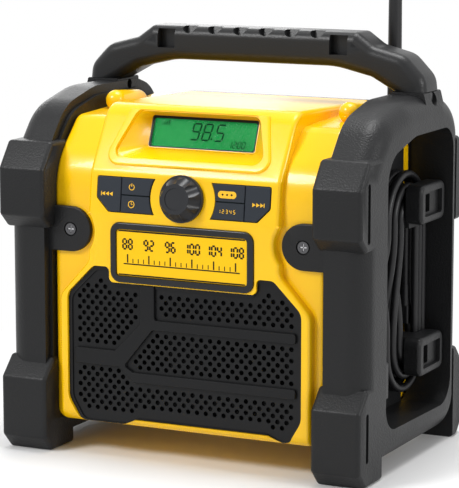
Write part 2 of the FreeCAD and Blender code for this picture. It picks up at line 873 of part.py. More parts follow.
def make_grille():
    """Perforated grille with its raised bars, tilted inwards under the lowest bar."""
    face = console_front + grille_setback
    rear = face + grille_thickness
    outline_corners = grille_outline(0)
    plate = along(outline_corners, face - 1.0, rear)
    section = [
        (face, 52.0, 0.0),
        (face + 1.4, body_floor, 0.0),
        (rear + 1.0, body_floor, 0.0),
        (rear + 1.0, grille_top + 10.0, 0.0),
        (face, grille_top + 10.0, 0.0),
    ]
    plate = plate.common(across(section, -half_width, half_width))
    band = along(bar_outline(), face - grille_bar_rise, rear)
    band = rounded(band, 0.8, lambda middle, edge: abs(middle.y - face + grille_bar_rise) < 0.01)
    zone = along(grille_outline(3.2), face - 5.0, rear + 5.0)
    centre = (grille_top + grille_foot) / 2
    rows = int((grille_top - grille_foot) / hole_row / 2)
    columns = int(grille_half / hole_pitch) + 1
    punches = []
    keep_out = along(shrink(bar_outline(), -2.4), face - 5.0, rear + 5.0)
    for row in range(-rows, rows + 1):
        shift = hole_pitch / 2 if row % 2 else 0.0
        for column in range(-columns, columns + 1):
            x = column * hole_pitch + shift
            z = centre + row * hole_row
            spot = Vector(x, face, z)
            if zone.isInside(spot, 0.01, True) and not keep_out.isInside(spot, 0.01, True):
                punches.append(rod(hole_radius, (x, face - 3.0, z), (x, face + grille_thickness + 3.0, z)))
    print("grille holes", len(punches))
    plate = plate.cut(Part.makeCompound(punches))
    parts["speaker_grille"] = plate.fuse(band.common(along(outline_corners, front, back)))


def make_speakers():
    """Two loudspeakers: pressed basket, magnet, rubber surround and the cone that pumps in it."""
    baffle_front = console_front + rim_depth
    flange_front = baffle_front + baffle_thickness
    baffle = along(grille_outline(baffle_inset), baffle_front, flange_front)
    for side in (-1, 1):
        x = side * speaker_spacing / 2
        baffle = baffle.cut(rod(surround_radius + face_gap, (x, baffle_front - 1, speaker_height),
                                (x, flange_front + 1, speaker_height)))
    parts["speaker_baffle"] = baffle
    for side, label in ((-1, "left"), (1, "right")):
        x = side * speaker_spacing / 2

        def ring_rod(radius, depth_front, depth_back):
            return rod(radius, (x, flange_front + depth_front, speaker_height),
                       (x, flange_front + depth_back, speaker_height))

        def ring_cone(radius_front, radius_back, depth_front, depth_back):
            return Part.makeCone(radius_front, radius_back, depth_back - depth_front,
                                 Vector(x, flange_front + depth_front, speaker_height), Vector(0, 1, 0))

        basket = ring_rod(speaker_radius, 0.0, 1.5)
        basket = basket.fuse(ring_cone(speaker_radius - 2.0, magnet_radius, 1.0, speaker_depth))
        basket = basket.cut(ring_cone(speaker_radius - 3.4, magnet_radius - 2.0, -0.5, speaker_depth - 1.5))
        basket = basket.cut(ring_rod(7.6, 0.0, speaker_depth + 1.0))
        parts["speaker_basket_" + label] = basket
        magnet = ring_rod(magnet_radius, speaker_depth, speaker_depth + magnet_depth)
        magnet = magnet.cut(ring_rod(7.6, speaker_depth - 1.0, speaker_depth + 8.0))
        magnet = magnet.fuse(ring_rod(6.0, speaker_depth - 1.0, speaker_depth + 8.0))
        parts["speaker_magnet_" + label] = magnet
        cone = ring_cone(cone_radius, 9.0, 0.0, 14.0)
        cone = cone.cut(ring_cone(cone_radius - 0.8, 8.2, -0.01, 13.3))
        cone = cone.fuse(ring_rod(7.2, 12.6, 22.0).cut(ring_rod(6.5, 12.0, 23.0)))
        cap = Part.makeSphere(12.0, Vector(x, flange_front + 20.5, speaker_height))
        cap_inner = Part.makeSphere(11.2, Vector(x, flange_front + 20.5, speaker_height))
        dome = cap.cut(cap_inner).common(ring_rod(9.5, 0.0, 13.0))
        parts["speaker_cone_" + label] = cone.fuse(dome)
        surround = ring_rod(surround_radius, -1.2, 0.0).cut(ring_rod(cone_radius + 0.4, -2.0, 1.0))
        parts["speaker_surround_" + label] = surround


def frame_outline():
    """Side frame's outer outline seen from the side, anticlockwise seen from the right."""
    low = frame_foot
    return [
        (front + frame_front, low, 24.0),
        (back - frame_rear, low, 24.0),
        (back - frame_rear, frame_top - 10.0, 30.0),
        (back - frame_rear - 32.0, frame_top, 30.0),
        (front + 78.0, frame_top, 60.0),
        (front + 39.0, frame_top - 9.0, 40.0),
        (front + frame_front, frame_top - 44.0, 26.0),
    ]


def frame_opening():
    """Opening of the side frame, seen from the side."""
    return [
        (opening_front, opening_floor + 2.0, 16.0),
        (opening_rear, opening_floor, 18.0),
        (opening_rear, opening_top, 16.0),
        (opening_front + 46.0, opening_top, 40.0),
        (opening_front, opening_top - 11.0, 22.0),
    ]


def bumper(y_face, y_root, z_low, z_high, top_bevel, low_bevel):
    """Corner pad standing proud of the frame, with its top and bottom bevelled."""
    inward = 1 if y_root > y_face else -1
    corners = [
        (y_face, z_low + low_bevel, 3.0),
        (y_face + inward * bumper_reach * 0.6, z_low, 3.0),
        (y_root, z_low, 0.0),
        (y_root, z_high, 0.0),
        (y_face + inward * bumper_reach * 0.8, z_high, 3.0),
        (y_face, z_high - top_bevel, 3.0),
    ]
    pad = across(corners, bumper_inner, half_width)
    return rounded(pad, 3.0,
                   lambda middle, edge: abs(middle.y - y_root) > 0.5 and edge.BoundBox.XLength < 0.01)


def make_side_frame():
    """Right side frame: roll-cage loop, web against the housing, four corner pads, ear and handle socket."""
    loop = across(frame_outline(), frame_inner, half_width)
    loop = rounded(loop, frame_round, lambda middle, edge: abs(middle.x - half_width) < 0.01)
    loop = loop.cut(across(frame_opening(), frame_inner - 1.0, half_width + 1.0))
    inner_face = body_half + face_gap
    web = across(shrink(frame_outline(), 6.0), inner_face, inner_face + web_thickness)
    web = web.common(block((0, front, 0), (half_width, web_rear, frame_top)))
    rear_web = across(shrink(frame_outline(), 6.0), inner_face, frame_inner + 1.0)
    rear_web = rear_web.common(block((0, opening_rear + 1.0, 0), (half_width, back, frame_top)))
    frame = loop.fuse([web, rear_web])
    root = opening_front - 6.0
    rear_root = opening_rear + 6.0
    pads = [
        bumper(front, root, upper_bumper_low, upper_bumper_high, bumper_bevel + 4, 9.0),
        bumper(front, root, 0.0, lower_bumper_high, bumper_bevel, 10.0),
        bumper(back, rear_root, upper_bumper_low, upper_bumper_high, bumper_bevel, 9.0),
        bumper(back, rear_root, 0.0, lower_bumper_high, bumper_bevel, 10.0),
    ]
    frame = frame.fuse(pads)
    frame = frame.cut(shell_room())
    for z_low, z_high in ((upper_groove_low, upper_groove_high), (lower_groove_low, lower_groove_high)):
        groove = rectangle(groove_y - 2.0, z_low, groove_y + 2.0, z_high, 1.9)
        frame = frame.cut(across(groove, half_width - 1.6, half_width + 1.0))
    ear_face = panel_front - ear_thickness
    ear = rod(ear_radius, (ear_x, ear_face, ear_z), (ear_x, panel_front, ear_z))
    arm = block((ear_x, ear_face, ear_z - ear_radius), (frame_inner + 4.0, panel_front, ear_z + ear_radius))
    ear = ear.fuse(arm).removeSplitter()
    ear = rounded(ear, 1.0, lambda middle, edge: abs(middle.y - ear_face) < 0.01 and middle.x < frame_inner)
    frame = frame.fuse(ear)
    hole_start = (ear_x, ear_face - 1, ear_z)
    frame = frame.cut(rod(screw_shank_radius + fit_gap, hole_start, (ear_x, panel_front + 1, ear_z)))
    frame = frame.cut(rod(screw_head_radius + 1.0, hole_start, (ear_x, ear_face + 1.6, ear_z)))
    frame = frame.fuse(handle_socket())
    frame = frame.cut(handle_tongue(fit_gap))
    frame = frame.cut(bolt_rod(1, bolt_radius + fit_gap, 90.0, half_width + 5.0))
    return frame.cut(bolt_rod(1, bolt_radius + 1.6, socket_outer - 3.0, half_width + 5.0))


def bolt_rod(side, radius, x_low, x_high):
    """Round bar on the axis of one handle bolt."""
    return rod(radius, (side * x_low, handle_y, bolt_z), (side * x_high, handle_y, bolt_z))


def shell_room():
    """Space of the housing that the frames stay clear of."""
    room = across(shrink(panel_profile(), -face_gap), -body_half - face_gap, body_half + face_gap)
    return room.fuse(bosses(face_gap))


socket_outer = half_width - 5.0
socket_inner = frame_inner + 1.0


def handle_socket():
    """Block on the frame's top that takes the handle's foot."""
    corners = [
        (socket_inner, frame_top - 14.0, 0.0),
        (half_width - 1.0, frame_top - 14.0, 0.0),
        (socket_outer, leg_foot - 0.2, 1.5),
        (socket_inner, leg_foot - 0.2, 1.5),
    ]
    return along(corners, handle_y - handle_depth / 2, handle_y + handle_depth / 2)


def handle_tongue(grow):
    """Tongue under the handle's foot."""
    return block((socket_inner + 5.0 - grow, handle_y - 8.0 - grow, leg_foot - 11.0 - grow),
                 (socket_outer - 5.0 + grow, handle_y + 8.0 + grow, leg_foot + grow))


def handle_outline():
    """Handle seen from the front: a raised grip on two splayed legs."""
    foot = leg_foot
    right = [
        (socket_inner, foot, 0.0),
        (socket_outer, foot, 0.0),
        (socket_outer - 1.0, foot + 9.0, 14.0),
        (110.0, handle_top - 14.0, 16.0),
        (88.0, handle_top - 8.5, 10.0),
        (76.0, handle_top, 5.0),
    ]
    left = [(-u, v, radius) for u, v, radius in reversed(right)]
    under_left = [
        (-86.0, handle_under - 6.0, 10.0),
        (-60.0, handle_under, 60.0),
    ]
    under_right = [(-u, v, radius) for u, v, radius in reversed(under_left)]
    return right + left + under_left + under_right


def make_handle():
    """Moulded grip with finger notches, weight-saving slots and a tongue in each frame."""
    grip = along(handle_outline(), handle_y - handle_depth / 2, handle_y + handle_depth / 2)
    near = handle_y - handle_depth / 2

    def outer_edge(middle, edge):
        return abs(abs(middle.y - handle_y) - handle_depth / 2) < 0.01 and middle.z > leg_foot + 0.5

    grip = rounded(grip, grip_round, outer_edge)
    for index in range(notch_count):
        x = (index - (notch_count - 1) / 2) * notch_pitch
        start = Vector(x, near - 2.0, handle_top + 2.2)
        grip = grip.cut(Part.makeCylinder(5.0, 12.0, start, Vector(0, 1.2, -0.55)))
    for side in (-1, 1):
        slot = block((side * slot_x - slot_size / 2, near - 1.0, handle_top - 15.0),
                     (side * slot_x + slot_size / 2, near + 7.0, handle_top - 2.0))
        grip = grip.cut(slot)
        tongue = handle_tongue(0.0) if side > 0 else mirrored(handle_tongue(0.0))
        grip = grip.fuse(tongue)
        grip = grip.cut(bolt_rod(side, bolt_radius + fit_gap, 90.0, half_width + 5.0))
    parts["handle"] = grip
    bolts = []
    for side in (-1, 1):
        shank = bolt_rod(side, bolt_radius, socket_inner + 2.0, socket_outer - 1.5)
        bolts.append(shank.fuse(bolt_rod(side, bolt_radius + 1.4, socket_outer - 3.0, socket_outer - 0.6)))
    parts["handle_bolts"] = Part.makeCompound(bolts)


def make_hooks():
    """Two cleats on the right side that the mains cord is wound on."""
    root = body_half + face_gap + web_thickness
    face_x = half_width - 4.0
    for name, z, stem_z, outward in (("cord_hook_upper", upper_hook_z, coil_rise, 1),
                                     ("cord_hook_lower", lower_hook_z, coil_fall, -1)):
        plate = across(rectangle(hook_y - hook_length / 2, z - hook_height / 2, hook_y + hook_length / 2,
                                 z + hook_height / 2, 6.0), face_x - hook_plate, face_x)
        plate = rounded(plate, 2.6, lambda middle, edge: abs(middle.x - face_x) < 0.01)
        window = across(rectangle(hook_y - hook_length / 2 + 6.0, z - hook_height / 2 + 5.0,
                                  hook_y + hook_length / 2 - 6.0, z + hook_height / 2 - 5.0, 1.5),
                        face_x - 3.0, face_x + 1.0)
        deep = across(rectangle(hook_y - hook_length / 2 + 8.0, z - hook_height / 2 + 7.0,
                                hook_y - hook_length / 2 + 21.0, z + hook_height / 2 - 7.0, 1.0),
                      face_x - 9.0, face_x + 1.0)
        near = stem_z + outward * stem_width / 2
        far = stem_z - outward * (stem_height - stem_width / 2)
        round_end = stem_width / 2 - 0.1
        corners = [
            (stem_y - stem_width / 2, near, round_end),
            (stem_y + stem_width / 2, near, round_end),
            (stem_y + stem_width / 2, far, 2.0),
            (stem_y - stem_width / 2, far, 2.0),
        ]
        stem = across(corners, root, face_x - hook_plate + 1.0)
        parts[name] = plate.cut(window).cut(deep).fuse(stem)


def straight(start, end):
    """Straight edge between two points."""
    return Part.LineSegment(start, end).toShape()


def biarc(start, end, heading):
    """Two equal arcs from start to end, both ends pointing along a heading."""
    across_vector = end - start
    along_part = heading * across_vector.dot(heading)
    side = across_vector - along_part
    if side.Length < 1e-6:
        return [straight(start, end)]
    run = along_part.Length / 2
    shift = side.Length / 2
    radius = (run * run + shift * shift) / (2 * shift)
    side_unit = Vector(side).normalize()
    angle = math.asin(run / radius) / 2
    forward = heading.normalize() if along_part.dot(heading) > 0 else heading * -1
    first_mid = start + forward * (radius * math.sin(angle)) + side_unit * (radius * (1 - math.cos(angle)))
    middle = (start + end) * 0.5
    second_mid = end - forward * (radius * math.sin(angle)) - side_unit * (radius * (1 - math.cos(angle)))
    print("cord bend radius", round(radius, 1))
    return [Part.Arc(start, first_mid, middle).toShape(), Part.Arc(middle, second_mid, end).toShape()]


def winding_radius(layer):
    """Radius of the cord's half turns in one layer."""
    tight = stem_width / 2 + cord_clearance + cord_diameter / 2
    return tight + layer * (layer_pitch + front_pitch) / 2


def winding_rear(layer):
    """Y of the rear runs in one layer."""
    return stem_y + winding_radius(0) + layer * layer_pitch


def winding_column(turn):
    """X of a turn; each layer is laid back over the one before."""
    first = body_half + face_gap + web_thickness + cord_clearance + cord_diameter / 2
    return first + column_pitch * (1 if turn in (1, 2, 5) else 0)


def half_turn(x, rear, radius, z, rising):
    """Half turn over the upper hook or under the lower one."""
    centre = rear - radius
    top = z + radius if rising else z - radius
    first = Vector(x, rear if rising else centre - radius, z)
    last = Vector(x, centre - radius if rising else rear, z)
    return Part.Arc(first, Vector(x, centre, top), last).toShape()


def winding_edges():
    """Path of the wound cord from its gland to the end of the last upper half turn."""
    edges = []
    x = winding_column(0)
    rear = winding_rear(0)
    edges.append(straight(Vector(x, rear, gland_top), Vector(x, rear, coil_rise)))
    for turn in range(turn_count):
        layer = turn // 2
        x = winding_column(turn)
        radius = winding_radius(layer)
        rear = winding_rear(layer)
        edges.append(half_turn(x, rear, radius, coil_rise, True))
        if turn == turn_count - 1:
            break
        next_layer = (turn + 1) // 2
        next_x = winding_column(turn + 1)
        next_radius = winding_radius(next_layer)
        next_rear = winding_rear(next_layer)
        start = Vector(x, rear - 2 * radius, coil_rise)
        end = Vector(next_x, next_rear - 2 * next_radius, coil_fall)
        edges.extend(biarc(start, end, Vector(0, 0, -1)))
        edges.append(half_turn(next_x, next_rear, next_radius, coil_fall, False))
        edges.append(straight(Vector(next_x, next_rear, coil_fall), Vector(next_x, next_rear, coil_rise)))
    return edges


def tail_edges():
    """Path of the loose end from the winding down into the plug."""
    last = turn_count - 1
    layer = last // 2
    start = Vector(winding_column(last), winding_rear(layer) - 2 * winding_radius(layer), coil_rise)
    end = Vector(winding_column(last), plug_y, plug_top + cord_diameter)
    edges = biarc(start, end, Vector(0, 0, -1))
    edges.append(straight(end, Vector(winding_column(last), plug_y, plug_top)))
    return edges


def tube(edges, start, heading):
    """Round tube along tangent edges."""
    path = Part.Wire(edges)
    section = Part.Wire([Part.makeCircle(cord_diameter / 2, start, heading)])
    shell = Part.BRepOffsetAPI.MakePipeShell(path)
    shell.add(section)
    shell.build()
    shell.makeSolid()
    solid = shell.shape()
    expected = math.pi * (cord_diameter / 2) ** 2 * path.Length
    print("cord length", round(path.Length, 1), "volume ratio", round(solid.Volume / expected, 4))
    return solid, path


def least_gap(path):
    """Least gap of the wound cord to itself, measured on points along it."""
    step = 4.0
    count = int(path.Length / step)
    points = path.discretize(count)
    skip = int(40.0 / step)
    least = 1e9
    for first in range(count):
        for second in range(first + skip, count):
            distance = (points[first] - points[second]).Length
            least = min(least, distance)
    return least - cord_diameter


def make_cord():
    """Mains cord: gland, six loose turns round the hooks, loose end and plug."""
    edges = winding_edges()
    solid, path = tube(edges, Vector(winding_column(0), winding_rear(0), gland_top), Vector(0, 0, 1))
    print("least gap of the winding to itself", round(least_gap(path), 2))
    parts["power_cord_winding"] = solid
    last = turn_count - 1
    start = Vector(winding_column(last), winding_rear(last // 2) - 2 * winding_radius(last // 2), coil_rise)
    tail, _ = tube(tail_edges(), start, Vector(0, 0, -1))
    parts["power_cord_tail"] = tail
    x = winding_column(0)
    y = winding_rear(0)
    root = body_half + face_gap + web_thickness
    boot = cord_diameter / 2 + 0.8
    shoulder = gland_top - 14.0
    gland = upright(rectangle(root, y - boot, x + boot, y + boot, 1.2), gland_top - gland_length, shoulder)
    relief = Part.makeCone(boot, cord_diameter / 2 + 0.3, gland_top - shoulder, Vector(x, y, shoulder))
    relief = relief.common(block((root, y - boot, 0), (x + boot, y + boot, gland_top + 1.0)))
    parts["cord_gland"] = gland.fuse(relief)
    plug_x = winding_column(last) + 1.5
    outer = rectangle(plug_x - 8.6, plug_y - 11.0, plug_x + 8.6, plug_y + 11.0, 5.0)
    body = upright(outer, plug_floor, plug_shoulder)
    body = rounded(body, 2.5, lambda middle, edge: abs(middle.z - plug_shoulder) < 0.01)
    collar_foot = Vector(winding_column(last), plug_y, plug_shoulder - 1.0)
    collar = Part.makeCone(5.6, 3.4, plug_top - plug_shoulder + 1.0, collar_foot, Vector(0, 0, 1))
    parts["plug_body"] = body.fuse(collar)
    blades = []
    for side in (-1, 1):
        y_mid = plug_y + side * blade_spread
        blades.append(block((plug_x - 3.2, y_mid - 0.8, blade_foot), (plug_x + 3.2, y_mid + 0.8, plug_floor)))
    parts["plug_blades"] = Part.makeCompound(blades)


def make_antenna():
    """Flexible rubber rod in its foot on the rear housing."""
    foot = antenna_rod(antenna_foot_radius, antenna_foot_low, antenna_foot_high)
    foot = rounded(foot, 2.0, lambda middle, edge: abs(middle.z - antenna_foot_high) < 0.01)
    shaft_low = (antenna_foot_low + antenna_foot_high) / 2
    foot = foot.cut(antenna_rod(antenna_radius, shaft_low, antenna_foot_high + 1.0))
    parts["antenna_foot"] = foot
    shaft_top = antenna_tip - antenna_tip_radius
    shaft = Part.makeCone(antenna_radius, antenna_tip_radius, shaft_top - shaft_low,
                          Vector(antenna_x, antenna_y, shaft_low), Vector(0, 0, 1))
    tip = Part.makeSphere(antenna_tip_radius, Vector(antenna_x, antenna_y, shaft_top))
    parts["antenna"] = shaft.fuse(tip)


def make_dock():
    """Slide rails and contact block for the battery pack."""
    pocket_back = body_back - dock_depth
    half = dock_width / 2 - 8.0
    base = block((-half, pocket_back, dock_floor), (half, pocket_back + 14.0, dock_floor + rail_height))
    for side in (-1, 1):
        groove = block((side * half - 5.0, pocket_back + 4.0, dock_floor + 6.0),
                       (side * half + 5.0, pocket_back + 9.0, dock_floor + rail_height + 1.0))
        base = base.cut(groove)
    channel = block((-22.0, pocket_back + 3.0, dock_floor + 8.0),
                    (22.0, pocket_back + 20.0, dock_floor + rail_height + 1.0))
    parts["battery_dock"] = base.cut(channel)
    blades = []
    for x in (-16.0, -5.0, 5.0, 16.0):
        blades.append(block((x - 0.5, pocket_back + 3.0, dock_floor + 8.0),
                            (x + 0.5, pocket_back + 10.0, dock_floor + 26.0)))
    parts["battery_terminals"] = Part.makeCompound(blades)


def make_aux():
    """Auxiliary input socket with its nose flush in the rear wall, under a hinged rubber cover."""
    low = aux_z - cover_height / 2
    left = aux_x - cover_width / 2
    right = aux_x + cover_width / 2
    wall_inside = body_back - shell_wall
    seat_box = rectangle(left - 1.0, low, right + 1.0, low + cover_height, 1.0)
    seat = along(seat_box, wall_inside - jack_length, wall_inside)
    seat = seat.fuse(rod(nose_radius, (aux_x, wall_inside - 1.0, jack_z), (aux_x, body_back, jack_z)))
    bore = rod(jack_radius, (aux_x, body_back - jack_length, jack_z), (aux_x, back, jack_z))
    parts["aux_socket"] = seat.cut(bore)
    pins = Part.makeCompound(aux_pins())
    parts["aux_hinge_pins"] = pins
    parts["aux_hinge_ears"] = Part.makeCompound([ear.cut(pins) for ear in aux_ears()])
    cover = along(rectangle(left, low, right, hinge_z, 0.0), cover_back - cover_thickness, cover_back)
    barrel = rod(cover_thickness / 2, (left, hinge_y, hinge_z), (right, hinge_y, hinge_z))
    hole = rod(cover_pin_radius + shaft_play, (left - 1.0, hinge_y, hinge_z), (right + 1.0, hinge_y, hinge_z))
    pit = rod(nose_radius + face_gap, (aux_x, recess_floor, jack_z), (aux_x, body_back + face_gap, jack_z))
    parts["aux_cover"] = cover.fuse(barrel).cut(hole).cut(pit)


def make_insides():
    """Main board, mains transformer and clock battery."""
    parts["main_board"] = block((-board_half, board_y, board_low),
                                (board_half, board_y + board_thickness, board_high))
    heat = block((-60.0, board_y - 18.0, 110.0), (-20.0, board_y, 140.0))
    grooves = []
    for index in range(6):
        x = -56.0 + index * 6.0
        grooves.append(block((x, board_y - 19.0, 109.0), (x + 3.0, board_y - 4.0, 141.0)))
    parts["heat_sink"] = heat.cut(Part.makeCompound(grooves))
    core_floor = body_floor + shell_wall
    core = block((20.0, -8.0, core_floor), (76.0, 30.0, core_floor + 46.0))
    window = block((20.0 + 11.0, -9.0, core_floor + 11.0), (76.0 - 11.0, 31.0, core_floor + 35.0))
    parts["transformer_core"] = core.cut(window)
    coil = upright(rectangle(20.0 + 11.4, -7.0, 76.0 - 11.4, 29.0, 6.0), core_floor + 11.4, core_floor + 34.6)
    parts["transformer_coil"] = coil
    wall_inside = body_back - shell_wall
    cell_front = wall_inside - cell_thickness
    pocket = rod(cell_cover_radius + 3.0, (0, cell_front - 1.4, cell_z), (0, wall_inside, cell_z))
    hollow = rod(cell_radius + face_gap, (0, cell_front, cell_z), (0, body_back, cell_z))
    parts["cell_holder"] = pocket.cut(hollow)
    parts["clock_cell"] = rod(cell_radius, (0, cell_front, cell_z), (0, wall_inside, cell_z))
    cover = rod(cell_cover_radius, (0, wall_inside, cell_z), (0, body_back, cell_z))
    coin_slot = block((-7.0, body_back - 1.2, cell_z - 1.0), (7.0, body_back + 1.0, cell_z + 1.0))
    parts["cell_cover"] = cover.cut(coin_slot)


def make_screws():
    """Cross-head screws of the ears and the rear housing."""
    def screw(x, y, z, inward):
        head = rod(screw_head_radius, (x, y, z), (x, y + inward * screw_head_height, z))
        head = head.cut(block((x - 2.4, min(y, y + inward), z - 0.5), (x + 2.4, max(y, y + inward), z + 0.5)))
        head = head.cut(block((x - 0.5, min(y, y + inward), z - 2.4), (x + 0.5, max(y, y + inward), z + 2.4)))
        shank_radius = screw_shank_radius - shaft_play
        shank = rod(shank_radius, (x, y + inward * 1.4, z), (x, y + inward * screw_length, z))
        return head.fuse(shank)

    seat = panel_front - ear_thickness + 1.6
    ears = [screw(side * ear_x, seat - screw_head_height, ear_z, 1) for side in (-1, 1)]
    parts["ear_screws"] = Part.makeCompound(ears)
    rear = [screw(x, body_back, z, -1) for x, z in rear_screw_places()]
    parts["rear_screws"] = Part.makeCompound(rear)


def export(name, shape):
    """Write one piece to its file."""
    shape.exportStep("parts/%s.step" % name)
    print(name, "solids", len(shape.Solids), "volume", round(shape.Volume, 1), "valid", shape.isValid())


os.makedirs("parts", exist_ok=True)
make_housings()
make_display()
make_keys()
make_knob()
make_badge()
make_grille()
make_speakers()
right_frame = make_side_frame()
parts["side_frame_right"] = right_frame
parts["side_frame_left"] = mirrored(right_frame)
make_handle()
make_hooks()
make_cord()
make_antenna()
make_dock()
make_aux()
make_insides()
make_screws()
for node_name, node_shape in parts.items():
    export(node_name, node_shape)
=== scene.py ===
import json
import logging
import math
from dataclasses import dataclass, field
from enum import Enum
from typing import Callable, Iterable, Sequence

import bmesh
import bpy
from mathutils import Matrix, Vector

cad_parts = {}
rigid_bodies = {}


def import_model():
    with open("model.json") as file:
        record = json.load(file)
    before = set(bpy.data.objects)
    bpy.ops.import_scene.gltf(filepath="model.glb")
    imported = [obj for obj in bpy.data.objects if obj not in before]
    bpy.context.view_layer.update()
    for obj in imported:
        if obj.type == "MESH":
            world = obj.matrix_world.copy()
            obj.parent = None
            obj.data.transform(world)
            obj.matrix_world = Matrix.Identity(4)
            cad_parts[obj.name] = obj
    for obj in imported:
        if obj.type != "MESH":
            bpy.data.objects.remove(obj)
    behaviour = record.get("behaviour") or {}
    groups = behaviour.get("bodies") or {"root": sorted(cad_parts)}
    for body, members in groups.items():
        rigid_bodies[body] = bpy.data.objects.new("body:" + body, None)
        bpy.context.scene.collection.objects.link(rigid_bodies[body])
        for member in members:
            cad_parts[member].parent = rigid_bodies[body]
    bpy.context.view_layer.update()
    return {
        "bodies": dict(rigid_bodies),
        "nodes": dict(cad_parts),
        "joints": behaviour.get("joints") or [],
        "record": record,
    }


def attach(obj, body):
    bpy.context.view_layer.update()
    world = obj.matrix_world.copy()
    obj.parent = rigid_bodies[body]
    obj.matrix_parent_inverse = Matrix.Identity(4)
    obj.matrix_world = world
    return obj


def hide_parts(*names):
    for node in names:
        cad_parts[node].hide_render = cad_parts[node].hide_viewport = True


log = logging.getLogger("jobsite_radio")

MM = 0.001
TINY_SQUARE = 1e-12
SAME_PLACE = 1e-6
Point2 = tuple[float, float]
Point3 = tuple[float, float, float]
Corner = tuple[float, float, float]
Loop = list[Point2]
Colour = tuple[float, float, float]


class Grain(Enum):
    """Kind of fine relief on a surface."""

    NONE = "none"
    PEEL = "peel"
    LEATHER = "leather"
    SATIN = "satin"
    BRUSHED = "brushed"


@dataclass(frozen=True)
class Finish:
    """Look of one material slot."""

    colour: Colour
    roughness: float
    metallic: float = 0.0
    coat: float = 0.0
    grain: Grain = Grain.NONE
    grain_size: float = 0.6
    grain_depth: float = 0.1
    mottle: float = 0.06
    alpha: float = 1.0
    glow: float = 0.0
    sheen: float = 0.5


def add_node(tree: bpy.types.NodeTree, kind: str, settings: dict[str, object],
             inputs: dict[str | int, object]) -> bpy.types.Node:
    """Add one node to a tree.

    Args:
        tree: The node tree.
        kind: Type of the node.
        settings: Attributes, set first.
        inputs: Values or links of its sockets.

    Returns:
        The node.
    """
    node = tree.nodes.new(kind)
    for name, value in settings.items():
        setattr(node, name, value)
    for name, value in inputs.items():
        source = value.socket if isinstance(value, Shade) else value
        if isinstance(source, bpy.types.NodeSocket):
            tree.links.new(source, node.inputs[name])
        else:
            node.inputs[name].default_value = source
    return node


class Shade:
    """A number inside a shader; arithmetic on it adds maths nodes."""

    def __init__(self, tree: bpy.types.NodeTree, socket: bpy.types.NodeSocket) -> None:
        """Wrap an output socket.

        Args:
            tree: The node tree that the socket belongs to.
            socket: The output that carries the number.
        """
        self.tree = tree
        self.socket = socket

    def _join(self, operation: str, other: "Shade | float") -> "Shade":
        """Add one maths node.

        Args:
            operation: Name of the operation.
            other: Second operand.

        Returns:
            The result as a new number.
        """
        node = add_node(self.tree, "ShaderNodeMath", {"operation": operation}, {0: self, 1: other})
        return Shade(self.tree, node.outputs[0])

    def __add__(self, other: "Shade | float") -> "Shade":
        """Sum."""
        return self._join("ADD", other)

    __radd__ = __add__

    def __sub__(self, other: "Shade | float") -> "Shade":
        """Difference."""
        return self._join("SUBTRACT", other)

    def __rsub__(self, other: float) -> "Shade":
        """Difference from a plain number."""
        return self * -1.0 + other

    def __mul__(self, other: "Shade | float") -> "Shade":
        """Product."""
        return self._join("MULTIPLY", other)

    __rmul__ = __mul__

    def limited(self) -> "Shade":
        """Keep between 0 and 1."""
        return self._join("MAXIMUM", 0.0)._join("MINIMUM", 1.0)


